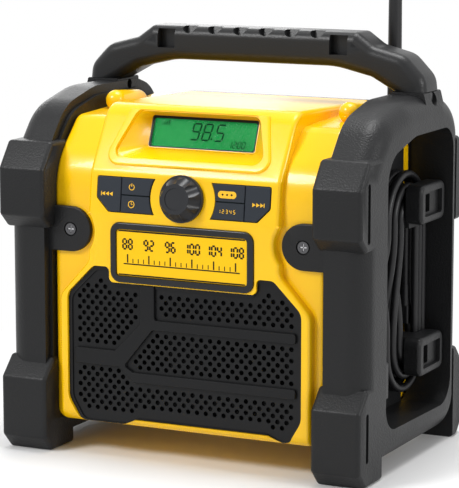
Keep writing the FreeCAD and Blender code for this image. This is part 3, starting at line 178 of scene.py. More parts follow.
class Painter:
    """Builds one procedural material."""

    coat_roughness = 0.06
    cloud_mm = 38.0
    cloud_detail = 3.0
    pebble_softness = 0.6
    pebble_blotch = 2.5
    pebble_blotch_share = 0.5
    peel_scale = 4.0
    brush_stretch = Vector((1.0, 1.0, 0.06))

    def __init__(self, name: str, finish: Finish) -> None:
        """Start an empty material.

        Args:
            name: Name of the material.
            finish: What it looks like.
        """
        self.finish = finish
        self.material = bpy.data.materials.new(name)
        self.material.use_nodes = True
        self.tree = self.material.node_tree
        self.surface = self.tree.nodes["Principled BSDF"]
        self.place = add_node(self.tree, "ShaderNodeTexCoord", {}, {}).outputs["Object"]

    def noise(self, size_mm: float, detail: float = 2.0, stretch: Vector | None = None) -> Shade:
        """Cloudy pattern between 0 and 1.

        Args:
            size_mm: Size of one blotch.
            detail: Number of finer layers.
            stretch: Scale along each axis.

        Returns:
            The pattern as a number.
        """
        place = self.place
        if stretch is not None:
            scaling = add_node(self.tree, "ShaderNodeVectorMath", {"operation": "MULTIPLY"},
                               {0: place, 1: stretch})
            place = scaling.outputs[0]
        scale = 1.0 / (size_mm * MM)
        node = add_node(self.tree, "ShaderNodeTexNoise", {},
                        {"Scale": scale, "Detail": detail, "Vector": place})
        return Shade(self.tree, node.outputs["Fac"])

    def cells(self, size_mm: float) -> Shade:
        """Rounded pebbles, as on moulded leather grain.

        Args:
            size_mm: Size of one pebble.

        Returns:
            Distance from each pebble's middle.
        """
        scale = 1.0 / (size_mm * MM)
        node = add_node(self.tree, "ShaderNodeTexVoronoi", {"feature": "SMOOTH_F1"},
                        {"Scale": scale, "Smoothness": self.pebble_softness, "Vector": self.place})
        return Shade(self.tree, node.outputs["Distance"])

    def relief(self) -> Shade | None:
        """Height pattern of the finish's grain.

        Returns:
            The pattern, or None for a plain finish.
        """
        size = self.finish.grain_size
        if self.finish.grain is Grain.LEATHER:
            blotches = self.noise(size * self.pebble_blotch, 3.0)
            return self.cells(size) * -1.0 + blotches * self.pebble_blotch_share
        if self.finish.grain is Grain.SATIN:
            return self.noise(size, 2.0)
        if self.finish.grain is Grain.PEEL:
            return self.noise(size * self.peel_scale, 1.0)
        if self.finish.grain is Grain.BRUSHED:
            return self.noise(size, 3.0, self.brush_stretch)
        return None

    def build(self) -> bpy.types.Material:
        """Link the nodes.

        Returns:
            The finished material.
        """
        finish = self.finish
        shader = self.surface.inputs
        shader["Base Color"].default_value = (*finish.colour, 1.0)
        shader["Metallic"].default_value = finish.metallic
        shader["Coat Weight"].default_value = finish.coat
        shader["Coat Roughness"].default_value = self.coat_roughness
        shader["Alpha"].default_value = finish.alpha
        shader["Specular IOR Level"].default_value = finish.sheen
        if finish.glow > 0.0:
            shader["Emission Color"].default_value = (*finish.colour, 1.0)
            shader["Emission Strength"].default_value = finish.glow
        cloud = self.noise(self.cloud_mm, self.cloud_detail)
        roughness = (cloud - 0.5) * (finish.mottle * 2.0) + finish.roughness
        self.tree.links.new(roughness.socket, shader["Roughness"])
        height = self.relief()
        if height is not None:
            bump = add_node(self.tree, "ShaderNodeBump", {},
                            {"Strength": 1.0, "Distance": finish.grain_depth * MM, "Height": height})
            self.tree.links.new(bump.outputs["Normal"], shader["Normal"])
        return self.material


FINISHES: dict[str, Finish] = {
    "yellow": Finish((0.97, 0.56, 0.001), 0.25, coat=0.25, grain=Grain.PEEL, grain_depth=0.04, sheen=0.30),
    "frame_black": Finish((0.0095, 0.0098, 0.0105), 0.43,
                          grain=Grain.LEATHER, grain_size=1.1, grain_depth=0.15, sheen=0.26),
    "handle_black": Finish((0.0095, 0.0098, 0.0105), 0.36,
                           grain=Grain.LEATHER, grain_size=1.0, grain_depth=0.06, sheen=0.30),
    "grille_black": Finish((0.0075, 0.0078, 0.0085), 0.36,
                           grain=Grain.SATIN, grain_size=0.5, grain_depth=0.03, sheen=0.20),
    "key_grey": Finish((0.020, 0.025, 0.033), 0.40,
                       grain=Grain.SATIN, grain_size=0.4, grain_depth=0.02, sheen=0.25),
    "knob_grey": Finish((0.017, 0.018, 0.021), 0.34,
                        grain=Grain.SATIN, grain_size=0.4, grain_depth=0.02, sheen=0.30),
    "clear_pane": Finish((0.05, 0.30, 0.15), 0.06, alpha=0.03, mottle=0.0, sheen=0.30),
    "display_green": Finish((0.001, 0.36, 0.075), 0.50, glow=0.28, mottle=0.02, sheen=0.04),
    "guide_white": Finish((0.80, 0.82, 0.80), 0.35),
    "badge_black": Finish((0.007, 0.007, 0.008), 0.24, coat=0.3, sheen=0.25),
    "badge_yellow": Finish((0.95, 0.55, 0.003), 0.33, grain=Grain.PEEL, grain_depth=0.03, sheen=0.20),
    "cord_rubber": Finish((0.009, 0.009, 0.010), 0.40,
                          grain=Grain.SATIN, grain_size=0.6, grain_depth=0.04, sheen=0.35),
    "antenna_rubber": Finish((0.010, 0.010, 0.011), 0.38,
                             grain=Grain.SATIN, grain_size=0.6, grain_depth=0.04, sheen=0.35),
    "cover_rubber": Finish((0.016, 0.016, 0.017), 0.60, grain=Grain.SATIN, grain_depth=0.05),
    "cone_paper": Finish((0.012, 0.012, 0.012), 0.80,
                         grain=Grain.SATIN, grain_size=0.9, grain_depth=0.1, sheen=0.15),
    "surround_rubber": Finish((0.010, 0.010, 0.010), 0.70),
    "basket_steel": Finish((0.030, 0.030, 0.032), 0.45, metallic=0.3),
    "magnet_iron": Finish((0.050, 0.050, 0.054), 0.65, grain=Grain.SATIN, grain_depth=0.08),
    "screw_steel": Finish((0.11, 0.11, 0.115), 0.30, metallic=1.0),
    "shaft_steel": Finish((0.52, 0.52, 0.54), 0.30, metallic=1.0, grain=Grain.BRUSHED, grain_depth=0.01),
    "contact_brass": Finish((0.78, 0.56, 0.22), 0.28, metallic=1.0),
    "board_green": Finish((0.010, 0.120, 0.040), 0.40, coat=0.3),
    "part_black": Finish((0.012, 0.012, 0.013), 0.50, grain=Grain.SATIN, grain_depth=0.03, sheen=0.25),
    "sink_aluminium": Finish((0.70, 0.71, 0.73), 0.35, metallic=1.0, grain=Grain.BRUSHED, grain_depth=0.02),
    "core_steel": Finish((0.28, 0.28, 0.30), 0.42, metallic=1.0, grain=Grain.BRUSHED, grain_depth=0.04),
    "coil_wire": Finish((0.62, 0.25, 0.07), 0.32, metallic=0.8, grain=Grain.BRUSHED, grain_depth=0.10),
    "cell_steel": Finish((0.72, 0.72, 0.74), 0.22, metallic=1.0),
    "cross_steel": Finish((0.66, 0.66, 0.68), 0.30, metallic=1.0),
    "print_yellow": Finish((0.92, 0.50, 0.01), 0.45, mottle=0.0),
    "print_black": Finish((0.006, 0.006, 0.006), 0.38, mottle=0.0, sheen=0.15),
    "digit_green": Finish((0.001, 0.030, 0.010), 0.50, mottle=0.0, sheen=0.04),
    "floor_white": Finish((0.86, 0.86, 0.86), 0.85, mottle=0.0),
}


class Palette:
    """Keeps one material for each finish."""

    def __init__(self) -> None:
        """Start with no material."""
        self.made: dict[str, bpy.types.Material] = {}

    def get(self, name: str) -> bpy.types.Material:
        """Material of a finish, built on first use.

        Args:
            name: Key in FINISHES.

        Returns:
            The material.
        """
        if name not in self.made:
            self.made[name] = Painter(name, FINISHES[name]).build()
        return self.made[name]


@dataclass(frozen=True)
class Plane:
    """A leaning face that flat details are drawn on; lengths in millimetres."""

    middle: Vector
    lean: float = 0.0

    def at(self, u: float, v: float, lift: float) -> Vector:
        """Point of the face.

        Args:
            u: Millimetres to the right of the middle.
            v: Millimetres up the face.
            lift: Millimetres out of the face.

        Returns:
            The point in metres.
        """
        angle = math.radians(self.lean)
        up = Vector((0.0, math.sin(angle), math.cos(angle)))
        out = Vector((0.0, -math.cos(angle), math.sin(angle)))
        return (self.middle + Vector((u, 0.0, 0.0)) + up * v + out * lift) * MM


KEY_PLANE = Plane(Vector((0.0, -77.89, 175.68)), 6.6)
GLASS_PLANE = Plane(Vector((0.0, -47.2, 214.5)), 21.7)
BADGE_PLANE = Plane(Vector((0.0, -79.4, 138.1)))


def make_object(name: str, builder: bmesh.types.BMesh, material: bpy.types.Material) -> bpy.types.Object:
    """Turn a mesh under construction into an object of the scene.

    Args:
        name: Name of the piece.
        builder: The mesh; it is freed here.
        material: Its material.

    Returns:
        The object, at the origin.
    """
    mesh = bpy.data.meshes.new(name)
    builder.to_mesh(mesh)
    builder.free()
    mesh.materials.append(material)
    piece = bpy.data.objects.new(name, mesh)
    bpy.context.scene.collection.objects.link(piece)
    return piece


def prism(builder: bmesh.types.BMesh, loop: Sequence[Point2], plane: Plane, low: float, high: float) -> None:
    """Add a flat shape with thickness.

    Args:
        builder: Mesh that takes it.
        loop: Corners, anticlockwise as seen from outside.
        plane: Face that it lies on.
        low: Height of its underside.
        high: Height of its upper side.
    """
    under = [builder.verts.new(plane.at(u, v, low)) for u, v in loop]
    over = [builder.verts.new(plane.at(u, v, high)) for u, v in loop]
    builder.faces.new(over)
    builder.faces.new(under[::-1])
    for index in range(len(loop)):
        after = (index + 1) % len(loop)
        builder.faces.new((under[index], under[after], over[after], over[index]))


def print_on(name: str, loops: Iterable[Sequence[Point2]], plane: Plane, material: bpy.types.Material,
             lift: float = 0.06) -> bpy.types.Object:
    """Thin printed marks on a face.

    Args:
        name: Name of the piece.
        loops: Shapes to print.
        plane: Face that takes them.
        material: Their material.
        lift: Thickness in millimetres.

    Returns:
        The marks as one object.
    """
    builder = bmesh.new()
    for loop in loops:
        prism(builder, loop, plane, -0.02, lift)
    bmesh.ops.recalc_face_normals(builder, faces=builder.faces)
    return make_object(name, builder, material)


def arc_points(middle: Point2, radius: float, start: float, end: float, steps: int) -> Loop:
    """Points along an arc.

    Args:
        middle: Middle of its circle.
        radius: Radius of its circle.
        start: First angle in degrees.
        end: Last angle in degrees.
        steps: Number of straight pieces.

    Returns:
        The points, with both ends.
    """
    points = []
    for index in range(steps + 1):
        angle = math.radians(start + (end - start) * index / steps)
        points.append((middle[0] + radius * math.cos(angle), middle[1] + radius * math.sin(angle)))
    return points


def arc_band(middle: Point2, radius: float, width: float, start: float, end: float, steps: int = 24) -> Loop:
    """Closed shape of an arc drawn with a broad pen.

    Args:
        middle: Middle of the arc's circle.
        radius: Radius of the pen's line.
        width: Width of the pen.
        start: First angle in degrees.
        end: Last angle in degrees.
        steps: Number of straight pieces along the arc.

    Returns:
        The outline.
    """
    outer = arc_points(middle, radius + width / 2, start, end, steps)
    inner = arc_points(middle, radius - width / 2, end, start, steps)
    return outer + inner


def stroke(start: Point2, end: Point2, width: float) -> Loop:
    """Straight pen stroke between two points.

    Args:
        start: First end.
        end: Second end.
        width: Width of the pen.

    Returns:
        The outline.
    """
    run = Vector((end[0] - start[0], end[1] - start[1]))
    side = Vector((-run.y, run.x)).normalized() * (width / 2)
    return [
        (start[0] - side.x, start[1] - side.y),
        (end[0] - side.x, end[1] - side.y),
        (end[0] + side.x, end[1] + side.y),
        (start[0] + side.x, start[1] + side.y),
    ]


def round_box(middle: Point2, width: float, height: float, radius: float, steps: int = 6) -> Loop:
    """Rectangle with round corners.

    Args:
        middle: Its middle.
        width: Size from left to right.
        height: Size from foot to top.
        radius: Radius of its corners.
        steps: Number of straight pieces in a corner.

    Returns:
        The outline, anticlockwise.
    """
    half_u = width / 2 - radius
    half_v = height / 2 - radius
    points: Loop = []
    for quarter, (su, sv) in enumerate(((1, 1), (-1, 1), (-1, -1), (1, -1))):
        corner = (middle[0] + su * half_u, middle[1] + sv * half_v)
        points += arc_points(corner, radius, quarter * 90.0, quarter * 90.0 + 90.0, steps)
    return points


def ring_shapes(outer: Loop, inner: Loop) -> list[Loop]:
    """Quadrilaterals that fill the space between two outlines.

    Args:
        outer: Outer outline.
        inner: Inner outline, with the same number of points.

    Returns:
        One shape for each side.
    """
    shapes = []
    for index in range(len(outer)):
        after = (index + 1) % len(outer)
        shapes.append([outer[index], outer[after], inner[after], inner[index]])
    return shapes


@dataclass(frozen=True)
class Digits:
    """Seven-segment figures, drawn leaning to the right."""

    height: float
    width: float
    pen: float
    slant: float = 0.16
    advance: float = 1.55
    gap_share: float = 0.35
    dot_size: float = 1.2
    dot_corner: float = 0.4
    dot_back: float = 0.22
    dot_onward: float = 0.42
    colon_heights: Point2 = (0.3, 0.7)

    segments = {
        "0": "abcdef", "1": "bc", "2": "abged", "3": "abgcd", "4": "fgbc",
        "5": "afgcd", "6": "afgedc", "7": "abc", "8": "abcdefg", "9": "abcdfg",
    }

    def shapes(self, text: str, left: float, low: float) -> list[Loop]:
        """Strokes of a row of figures.

        Args:
            text: Figures, with a dot or a colon where wanted.
            left: Left end of the row.
            low: Foot of the row.

        Returns:
            One closed shape for each stroke.
        """
        shapes: list[Loop] = []
        place = left
        gap = self.pen * self.gap_share
        for letter in text:
            if letter in ".:":
                colon = [self.height * share for share in self.colon_heights]
                side = self.pen * self.dot_size
                place -= self.width * self.dot_back
                for height in [self.pen] if letter == "." else colon:
                    middle = (place + height * self.slant, low + height)
                    shapes.append(round_box(middle, side, side, self.pen * self.dot_corner))
                place += self.width * self.dot_onward
                continue
            half = self.height / 2
            corners = {
                "a": ((gap, self.height), (self.width - gap, self.height)),
                "b": ((self.width, self.height - gap), (self.width, half + gap)),
                "c": ((self.width, half - gap), (self.width, gap)),
                "d": ((gap, 0.0), (self.width - gap, 0.0)),
                "e": ((0.0, half - gap), (0.0, gap)),
                "f": ((0.0, self.height - gap), (0.0, half + gap)),
                "g": ((gap, half), (self.width - gap, half)),
            }
            for segment in self.segments[letter]:
                start, end = corners[segment]
                first = (place + start[0] + start[1] * self.slant, low + start[1])
                second = (place + end[0] + end[1] * self.slant, low + end[1])
                shapes.append(stroke(first, second, self.pen))
            place += self.width * self.advance
        return shapes


@dataclass
class Display:
    """Figures on the glass, and a dark frame round it that is painted shade of the display's recess."""

    palette: Palette
    large: Digits = Digits(10.8, 5.3, 1.05)
    small: Digits = Digits(4.2, 2.0, 0.55)
    station_place: Point2 = (-9.0, -4.4)
    time_place: Point2 = (19.0, -8.4)
    signal_place: Point2 = (-31.0, 4.6)
    signal_bars: int = 4
    signal_pitch: float = 1.7
    signal_growth: float = 0.8
    signal_pen: float = 0.8
    figure_lift: float = 0.05
    # Dark frame round the glass: painted shade of the deep recess. The opening sits off centre, so the frame
    # is wider at the top and left, where the shadow falls.
    shadow_frame_size: Point2 = (77.0, 21.2)
    shadow_frame_corner: float = 1.6
    shadow_frame_lift: float = 0.35
    opening_middle: Point2 = (0.35, -0.6)
    opening_size: Point2 = (75.0, 18.8)
    opening_corner: float = 1.9

    def figures(self) -> list[Loop]:
        """Shapes of the station, the time and the signal mark.

        Returns:
            Shapes to print.
        """
        shapes = self.large.shapes("98.5", *self.station_place)
        shapes += self.small.shapes("12:00", *self.time_place)
        left, foot = self.signal_place
        for index in range(self.signal_bars):
            u = left + index * self.signal_pitch
            shapes.append(stroke((u, foot), (u, foot + (index + 1) * self.signal_growth), self.signal_pen))
        return shapes

    def build(self) -> None:
        """Add the figures and the dark frame of painted shade."""
        green = self.palette.get("digit_green")
        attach(print_on("display_figures", self.figures(), GLASS_PLANE, green, self.figure_lift), "radio")
        # Painted shade: a dark ring printed on the glass's edge, wider at the top and left.
        outer = round_box((0.0, 0.0), *self.shadow_frame_size, self.shadow_frame_corner)
        inner = round_box(self.opening_middle, *self.opening_size, self.opening_corner)
        shadow_frame = print_on("display_gasket", ring_shapes(outer, inner), GLASS_PLANE,
                          self.palette.get("print_black"), self.shadow_frame_lift)
        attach(shadow_frame, "radio")


@dataclass
class KeyMarks:
    """Symbols on the six keys."""

    palette: Palette
    pen: float = 0.48
    head_shifts: tuple[float, ...] = (-3.0, -0.2, 2.6)
    head_length: float = 2.4
    head_half: float = 1.35
    bar_shift: float = 5.3
    bar_half: float = 1.4
    bar_pen: float = 0.55
    power_radius: float = 1.85
    power_arc: Point2 = (120.0, 420.0)
    power_stroke: Point2 = (0.3, 2.4)
    clock_radius: float = 2.1
    clock_hands: Point2 = (1.1, 1.5)
    pill_place: Point2 = (32.0, 4.8)
    pill_size: Point2 = (13.0, 4.6)
    pill_corner: float = 2.25
    dot_size: float = 1.3
    dot_corner: float = 0.6
    dot_pitch: float = 3.2
    dot_lift: float = 0.10
    numbers_start: Point2 = (-6.2, -1.1)

    def arrows(self, middle: Point2, way: int) -> list[Loop]:
        """Seek symbol: three arrow heads and a bar.

        Args:
            middle: Middle of the symbol.
            way: 1 for arrows to the right, -1 to the left.

        Returns:
            Shapes to print.
        """
        u, v = middle
        shapes: list[Loop] = []
        for shift in self.head_shifts:
            tip = u + way * (shift + self.head_length)
            foot = u + way * shift
            head = [(foot, v - self.head_half), (tip, v), (foot, v + self.head_half)]
            shapes.append(head if way > 0 else head[::-1])
        bar = u + way * self.bar_shift
        shapes.append(stroke((bar, v - self.bar_half), (bar, v + self.bar_half), self.bar_pen))
        return shapes

    def power(self, middle: Point2) -> list[Loop]:
        """Power symbol: open ring with a stroke.

        Args:
            middle: Middle of the symbol.

        Returns:
            Shapes to print.
        """
        u, v = middle
        low, high = self.power_stroke
        ring = arc_band(middle, self.power_radius, self.pen, *self.power_arc)
        return [ring, stroke((u, v + low), (u, v + high), self.pen)]

    def clock(self, middle: Point2) -> list[Loop]:
        """Clock face with two hands.

        Args:
            middle: Middle of the symbol.

        Returns:
            Shapes to print.
        """
        u, v = middle
        across, up = self.clock_hands
        halves = ((0.0, 180.0), (180.0, 360.0))
        rings = [arc_band(middle, self.clock_radius, self.pen, *half) for half in halves]
        return rings + [stroke((u, v), (u, v + up), self.pen), stroke((u, v), (u + across, v), self.pen)]

    def pill(self, middle: Point2) -> list[Loop]:
        """Solid rounded bar."""
        return [round_box(middle, *self.pill_size, self.pill_corner)]

    def pill_dots(self, middle: Point2) -> list[Loop]:
        """Three dots that lie on the bar."""
        places = [(middle[0] + side * self.dot_pitch, middle[1]) for side in (-1, 0, 1)]
        return [round_box(place, self.dot_size, self.dot_size, self.dot_corner) for place in places]

    def numbers(self, middle: Point2) -> list[Loop]:
        """The stored stations' numbers."""
        small = Digits(2.3, 1.15, self.pen * 0.85, 0.0, 2.3)
        return small.shapes("12345", middle[0] + self.numbers_start[0], middle[1] + self.numbers_start[1])

    def build(self) -> None:
        """Print each key's symbol so that it moves with its key."""
        marks: dict[str, list[Loop]] = {
            "seek_back": self.arrows((-53.6, 0.2), -1),
            "power": self.power((-36.8, 5.4)),
            "clock": self.clock((-36.6, -5.8)),
            "mode": self.pill(self.pill_place),
            "preset": self.numbers((32.6, -6.0)),
            "seek_forward": self.arrows((53.0, -0.4), 1),
        }
        for key, shapes in marks.items():
            mark = print_on(key + "_mark", shapes, KEY_PLANE, self.palette.get("print_yellow"))
            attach(mark, key + "_button")
        dots = print_on("mode_dots", self.pill_dots(self.pill_place), KEY_PLANE,
                        self.palette.get("print_black"), self.dot_lift)
        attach(dots, "mode_button")


@dataclass
class Badge:
    """Plain tuning scale in place of a name."""

    palette: Palette
    first: int = 88
    last: int = 108
    label_every: int = 4
    span: float = 78.0
    border: Point2 = (45.6, 14.4)
    border_pen: float = 0.9
    tick_foot: float = -6.4
    tall_tick: Point2 = (-0.8, 0.95)
    short_tick: Point2 = (-3.6, 0.6)
    line_height: float = -7.2
    line_overhang: float = 3.0
    line_pen: float = 0.8
    digits: Digits = Digits(6.4, 2.6, 1.15, 0.0, 1.6)
    digit_foot: float = 2.6
    lift: float = 0.08

    def place(self, index: int) -> float:
        """Distance of a tick from the middle."""
        return -self.span / 2 + self.span * index / (self.last - self.first)

    def build(self) -> None:
        """Add the border lines, the ticks and the numbers."""
        shapes: list[Loop] = []
        half, top = self.border
        for height in (top, -top):
            shapes.append(stroke((-half, height), (half, height), self.border_pen))
        count = self.last - self.first
        for index in range(count + 1):
            u = self.place(index)
            tip, pen = self.short_tick if index % self.label_every else self.tall_tick
            shapes.append(stroke((u, self.tick_foot), (u, tip), pen))
        reach = self.span / 2 + self.line_overhang
        shapes.append(stroke((-reach, self.line_height), (reach, self.line_height), self.line_pen))
        for index in range(0, count + 1, self.label_every):
            label = str(self.first + index)
            width = self.digits.width * (self.digits.advance * (len(label) - 1) + 1.0)
            shapes += self.digits.shapes(label, self.place(index) - width / 2, self.digit_foot)
        scale = print_on("badge_scale", shapes, BADGE_PLANE, self.palette.get("print_black"), self.lift)
        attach(scale, "radio")


@dataclass
class EarScrews:
    """Bright cross in the recess of each ear's screw."""

    palette: Palette
    across: float = 84.0
    height: float = 150.0
    recess: float = -74.1
    length: float = 4.5
    width: float = 0.85
    lift: float = 0.25

    def build(self) -> None:
        """Lay two strokes on the floor of each recess."""
        shapes: list[Loop] = []
        half = self.length / 2
        for u in (-self.across, self.across):
            shapes.append(stroke((u - half, self.height), (u + half, self.height), self.width))
            shapes.append(stroke((u, self.height - half), (u, self.height + half), self.width))
        floor = Plane(Vector((0.0, self.recess, 0.0)))
        crosses = print_on("screw_crosses", shapes, floor, self.palette.get("cross_steel"), self.lift)
        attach(crosses, "radio")


class Perforator:
    """Geometry-nodes tool that drills a plate at a set of points."""

    drill_sides = 14

    def __init__(self, material: bpy.types.Material) -> None:
        """Build the node group.

        Args:
            material: Material of the drilled plate.
        """
        tree = bpy.data.node_groups.new("drill_plate", "GeometryNodeTree")
        face = tree.interface
        face.new_socket("Geometry", in_out="INPUT", socket_type="NodeSocketGeometry")
        self.spots = face.new_socket("Spots", in_out="INPUT", socket_type="NodeSocketObject").identifier
        self.radius = face.new_socket("Radius", in_out="INPUT", socket_type="NodeSocketFloat").identifier
        self.depth = face.new_socket("Depth", in_out="INPUT", socket_type="NodeSocketFloat").identifier
        face.new_socket("Geometry", in_out="OUTPUT", socket_type="NodeSocketGeometry")
        entry = add_node(tree, "NodeGroupInput", {}, {}).outputs
        info = add_node(tree, "GeometryNodeObjectInfo", {}, {"Object": entry["Spots"]})
        drill = add_node(tree, "GeometryNodeMeshCylinder", {},
                         {"Vertices": self.drill_sides, "Radius": entry["Radius"], "Depth": entry["Depth"]})
        turn = add_node(tree, "GeometryNodeTransform", {},
                        {"Geometry": drill.outputs["Mesh"], "Rotation": (math.pi / 2, 0.0, 0.0)})
        scatter = add_node(tree, "GeometryNodeInstanceOnPoints", {},
                           {"Points": info.outputs["Geometry"], "Instance": turn.outputs["Geometry"]})
        real = add_node(tree, "GeometryNodeRealizeInstances", {}, {"Geometry": scatter.outputs["Instances"]})
        cut = add_node(tree, "GeometryNodeMeshBoolean", {"operation": "DIFFERENCE", "solver": "MANIFOLD"},
                       {"Mesh 1": entry["Geometry"], "Mesh 2": real.outputs["Geometry"]})
        paint = add_node(tree, "GeometryNodeSetMaterial", {},
                         {"Geometry": cut.outputs["Mesh"], "Material": material})
        add_node(tree, "NodeGroupOutput", {}, {"Geometry": paint.outputs["Geometry"]})
        self.tree = tree

    def drill(self, plate: bpy.types.Object, spots: list[Vector], radius: float, depth: float) -> None:
        """Drill the plate and keep only the drilled mesh.

        Args:
            plate: Closed mesh to drill.
            spots: Middles of the holes.
            radius: Radius of a hole in metres.
            depth: Length of the drill in metres.
        """
        mesh = bpy.data.meshes.new("drill_spots")
        mesh.from_pydata([tuple(spot) for spot in spots], [], [])
        helper = bpy.data.objects.new("drill_spots", mesh)
        bpy.context.scene.collection.objects.link(helper)
        modifier = plate.modifiers.new("drill", "NODES")
        modifier.node_group = self.tree
        modifier[self.spots] = helper
        modifier[self.radius] = radius
        modifier[self.depth] = depth
        bpy.context.view_layer.update()
        graph = bpy.context.evaluated_depsgraph_get()
        drilled = bpy.data.meshes.new_from_object(plate.evaluated_get(graph))
        plate.modifiers.remove(modifier)
        plate.data = drilled
        bpy.data.objects.remove(helper)


def rounded_loop(corners: Sequence[Corner], steps: int = 5) -> Loop:
    """Outline with each corner rounded by a tangent arc.

    Args:
        corners: Place and radius of each corner.
        steps: Number of straight pieces in an arc.

    Returns:
        The outline.
    """
    points: Loop = []
    count = len(corners)
    for index, (u, v, radius) in enumerate(corners):
        here = Vector((u, v))
        before = (Vector(corners[index - 1][:2]) - here).normalized()
        after = (Vector(corners[(index + 1) % count][:2]) - here).normalized()
        if radius <= 0.0:
            points.append((u, v))
            continue
        half = before.angle(after) / 2
        reach = radius / math.tan(half)
        start = here + before * reach
        end = here + after * reach
        middle = here + (before + after).normalized() * (radius / math.sin(half))
        first = start - middle
        sweep = first.angle_signed(end - middle)
        for step in range(steps + 1):
            angle = -sweep * step / steps
            cosine, sine = math.cos(angle), math.sin(angle)
            points.append((middle.x + first.x * cosine - first.y * sine,
                           middle.y + first.x * sine + first.y * cosine))
    return points


def inside(point: Point2, loop: Sequence[Point2]) -> bool:
    """Tell whether a point lies inside a closed outline.

    Args:
        point: The point.
        loop: The outline.

    Returns:
        True inside.
    """
    u, v = point
    hit = False
    for index in range(len(loop)):
        u1, v1 = loop[index - 1]
        u2, v2 = loop[index]
        if (v1 > v) != (v2 > v) and u < (u2 - u1) * (v - v1) / (v2 - v1) + u1:
            hit = not hit
    return hit


def clearance(point: Point2, loop: Sequence[Point2]) -> float:
    """Distance from a point to an outline.

    Args:
        point: The point.
        loop: The outline.

    Returns:
        The least distance.
    """
    spot = Vector(point)
    least = math.inf
    for index in range(len(loop)):
        start, end = Vector(loop[index - 1]), Vector(loop[index])
        run = end - start
        share = 0.0
        if run.length_squared >= TINY_SQUARE:
            share = max(0.0, min(1.0, (spot - start).dot(run) / run.length_squared))
        least = min(least, (start + run * share - spot).length)
    return least


@dataclass
class Grille:
    """Perforated speaker grille with its raised bars."""

    palette: Palette
    face: float = -76.2
    thickness: float = 2.2
    rise: float = 2.4
    half: float = 84.6
    top: float = 127.5
    foot: float = 23.0
    hole: float = 1.62
    pitch: float = 6.4
    row: float = 3.7
    margin: float = 4.1
    bar_gap: float = 0.5
    first_row: float = 2.0
    drill_length: float = 12.0
    notch_half: float = 53.4
    notch_low: float = 117.4
    foot_step: float = 4.0
    bar_root: float = 0.5
    bar_bevel: float = 0.8
    rim_share: Point2 = (0.972, 0.97)
    rim_rise: float = 0.6
    rim_lift: float = 0.9
    plane: Plane = field(init=False)
    outline: list[Corner] = field(init=False)

    def __post_init__(self) -> None:
        """Work out the face and the outline from the sizes."""
        self.plane = Plane(Vector((0.0, self.face, 0.0)))
        step = self.foot + self.foot_step
        shoulder = [
            (self.half - 9.0, self.foot, 6.0),
            (self.half, self.foot + 15.0, 12.0),
            (self.half, self.top - 19.5, 9.0),
            (65.0, self.top, 6.0),
            (self.notch_half, self.top, 3.0),
            (self.notch_half, self.notch_low, 3.5),
        ]
        mirrored = [(-u, v, radius) for u, v, radius in reversed(shoulder)]
        right = [(61.0, step, 3.0), (71.0, self.foot, 3.0)]
        left = [(-44.0, self.foot, 3.0), (-35.0, step, 3.0)]
        self.outline = right + shoulder + mirrored + left

    def bars(self) -> list[Corner]:
        """Corners of the raised running band.

        Returns:
            Place and radius of each corner.
        """
        return [
            (-31.0, self.notch_low, 0.0), (-31.0, 91.5, 2.0), (-50.0, 72.0, 2.0), (-79.5, 72.0, 1.5),
            (-79.5, 61.5, 1.5), (-46.5, 61.5, 2.0), (-35.5, 52.0, 2.0), (80.5, 52.0, 1.5),
            (80.5, 58.5, 1.5), (-36.5, 58.5, 2.0), (-43.0, 62.5, 2.0), (-22.0, 88.0, 2.0),
            (80.5, 88.0, 1.5), (80.5, 94.5, 1.5), (-20.5, 94.5, 2.0), (-20.5, self.notch_low, 0.0),
        ]

    def holes(self, edge: Loop, band: Loop) -> list[Vector]:
        """Middles of the holes that clear the rim and the bars.

        Args:
            edge: Outline of the plate.
            band: Outline of the raised band.

        Returns:
            Points on the plate in metres.
        """
        spots: list[Vector] = []
        rows = int((self.top - self.foot) / self.row)
        columns = int(self.half / self.pitch) + 1
        for row in range(rows + 1):
            v = self.foot + self.first_row + row * self.row
            shift = self.pitch / 2 if row % 2 else 0.0
            for column in range(-columns, columns + 1):
                point = (column * self.pitch + shift, v)
                if not inside(point, edge) or clearance(point, edge) < self.hole + self.margin:
                    continue
                if inside(point, band) or clearance(point, band) < self.hole + self.bar_gap:
                    continue
                spots.append(self.plane.at(point[0], point[1], -self.thickness / 2))
        return spots

    def relief(self, name: str, loop: Loop, low: float, high: float, bevel: float) -> bpy.types.Object:
        """Raised piece with softened edges.

        Args:
            name: Name of the piece.
            loop: Its outline.
            low: Depth of its back.
            high: Height of its front.
            bevel: Size of the softened edge.

        Returns:
            The piece.
        """
        builder = bmesh.new()
        prism(builder, loop, self.plane, low, high)
        bmesh.ops.recalc_face_normals(builder, faces=builder.faces)
        front = self.plane.at(0.0, 0.0, high).y
        rim = [edge for edge in builder.edges
               if all(abs(vert.co.y - front) < SAME_PLACE for vert in edge.verts)]
        bmesh.ops.bevel(builder, geom=rim, offset=bevel * MM, segments=3, profile=0.6, affect="EDGES")
        return make_object(name, builder, self.palette.get("grille_black"))

    def build(self) -> None:
        """Build the drilled plate, its bars and its rim."""
        black = self.palette.get("grille_black")
        edge = rounded_loop(self.outline)
        band = rounded_loop(self.bars())
        builder = bmesh.new()
        prism(builder, edge, self.plane, -self.thickness, 0.0)
        bmesh.ops.recalc_face_normals(builder, faces=builder.faces)
        plate = make_object("grille_plate", builder, black)
        spots = self.holes(edge, band)
        Perforator(black).drill(plate, spots, self.hole * MM, self.drill_length * MM)
        log.info("grille: %d holes, %d faces", len(spots), len(plate.data.polygons))
        bars = self.relief("grille_bars", band, -self.bar_root, self.rise, self.bar_bevel)
        low = self.foot + self.foot_step
        across, upward = self.rim_share
        inner = [(u * across, low + (v - low) * upward + self.rim_rise) for u, v in edge]
        rim = print_on("grille_rim", ring_shapes(edge, inner), self.plane, black, self.rim_lift)
        for piece in (plate, bars, rim):
            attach(piece, "radio")
        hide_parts("speaker_grille")


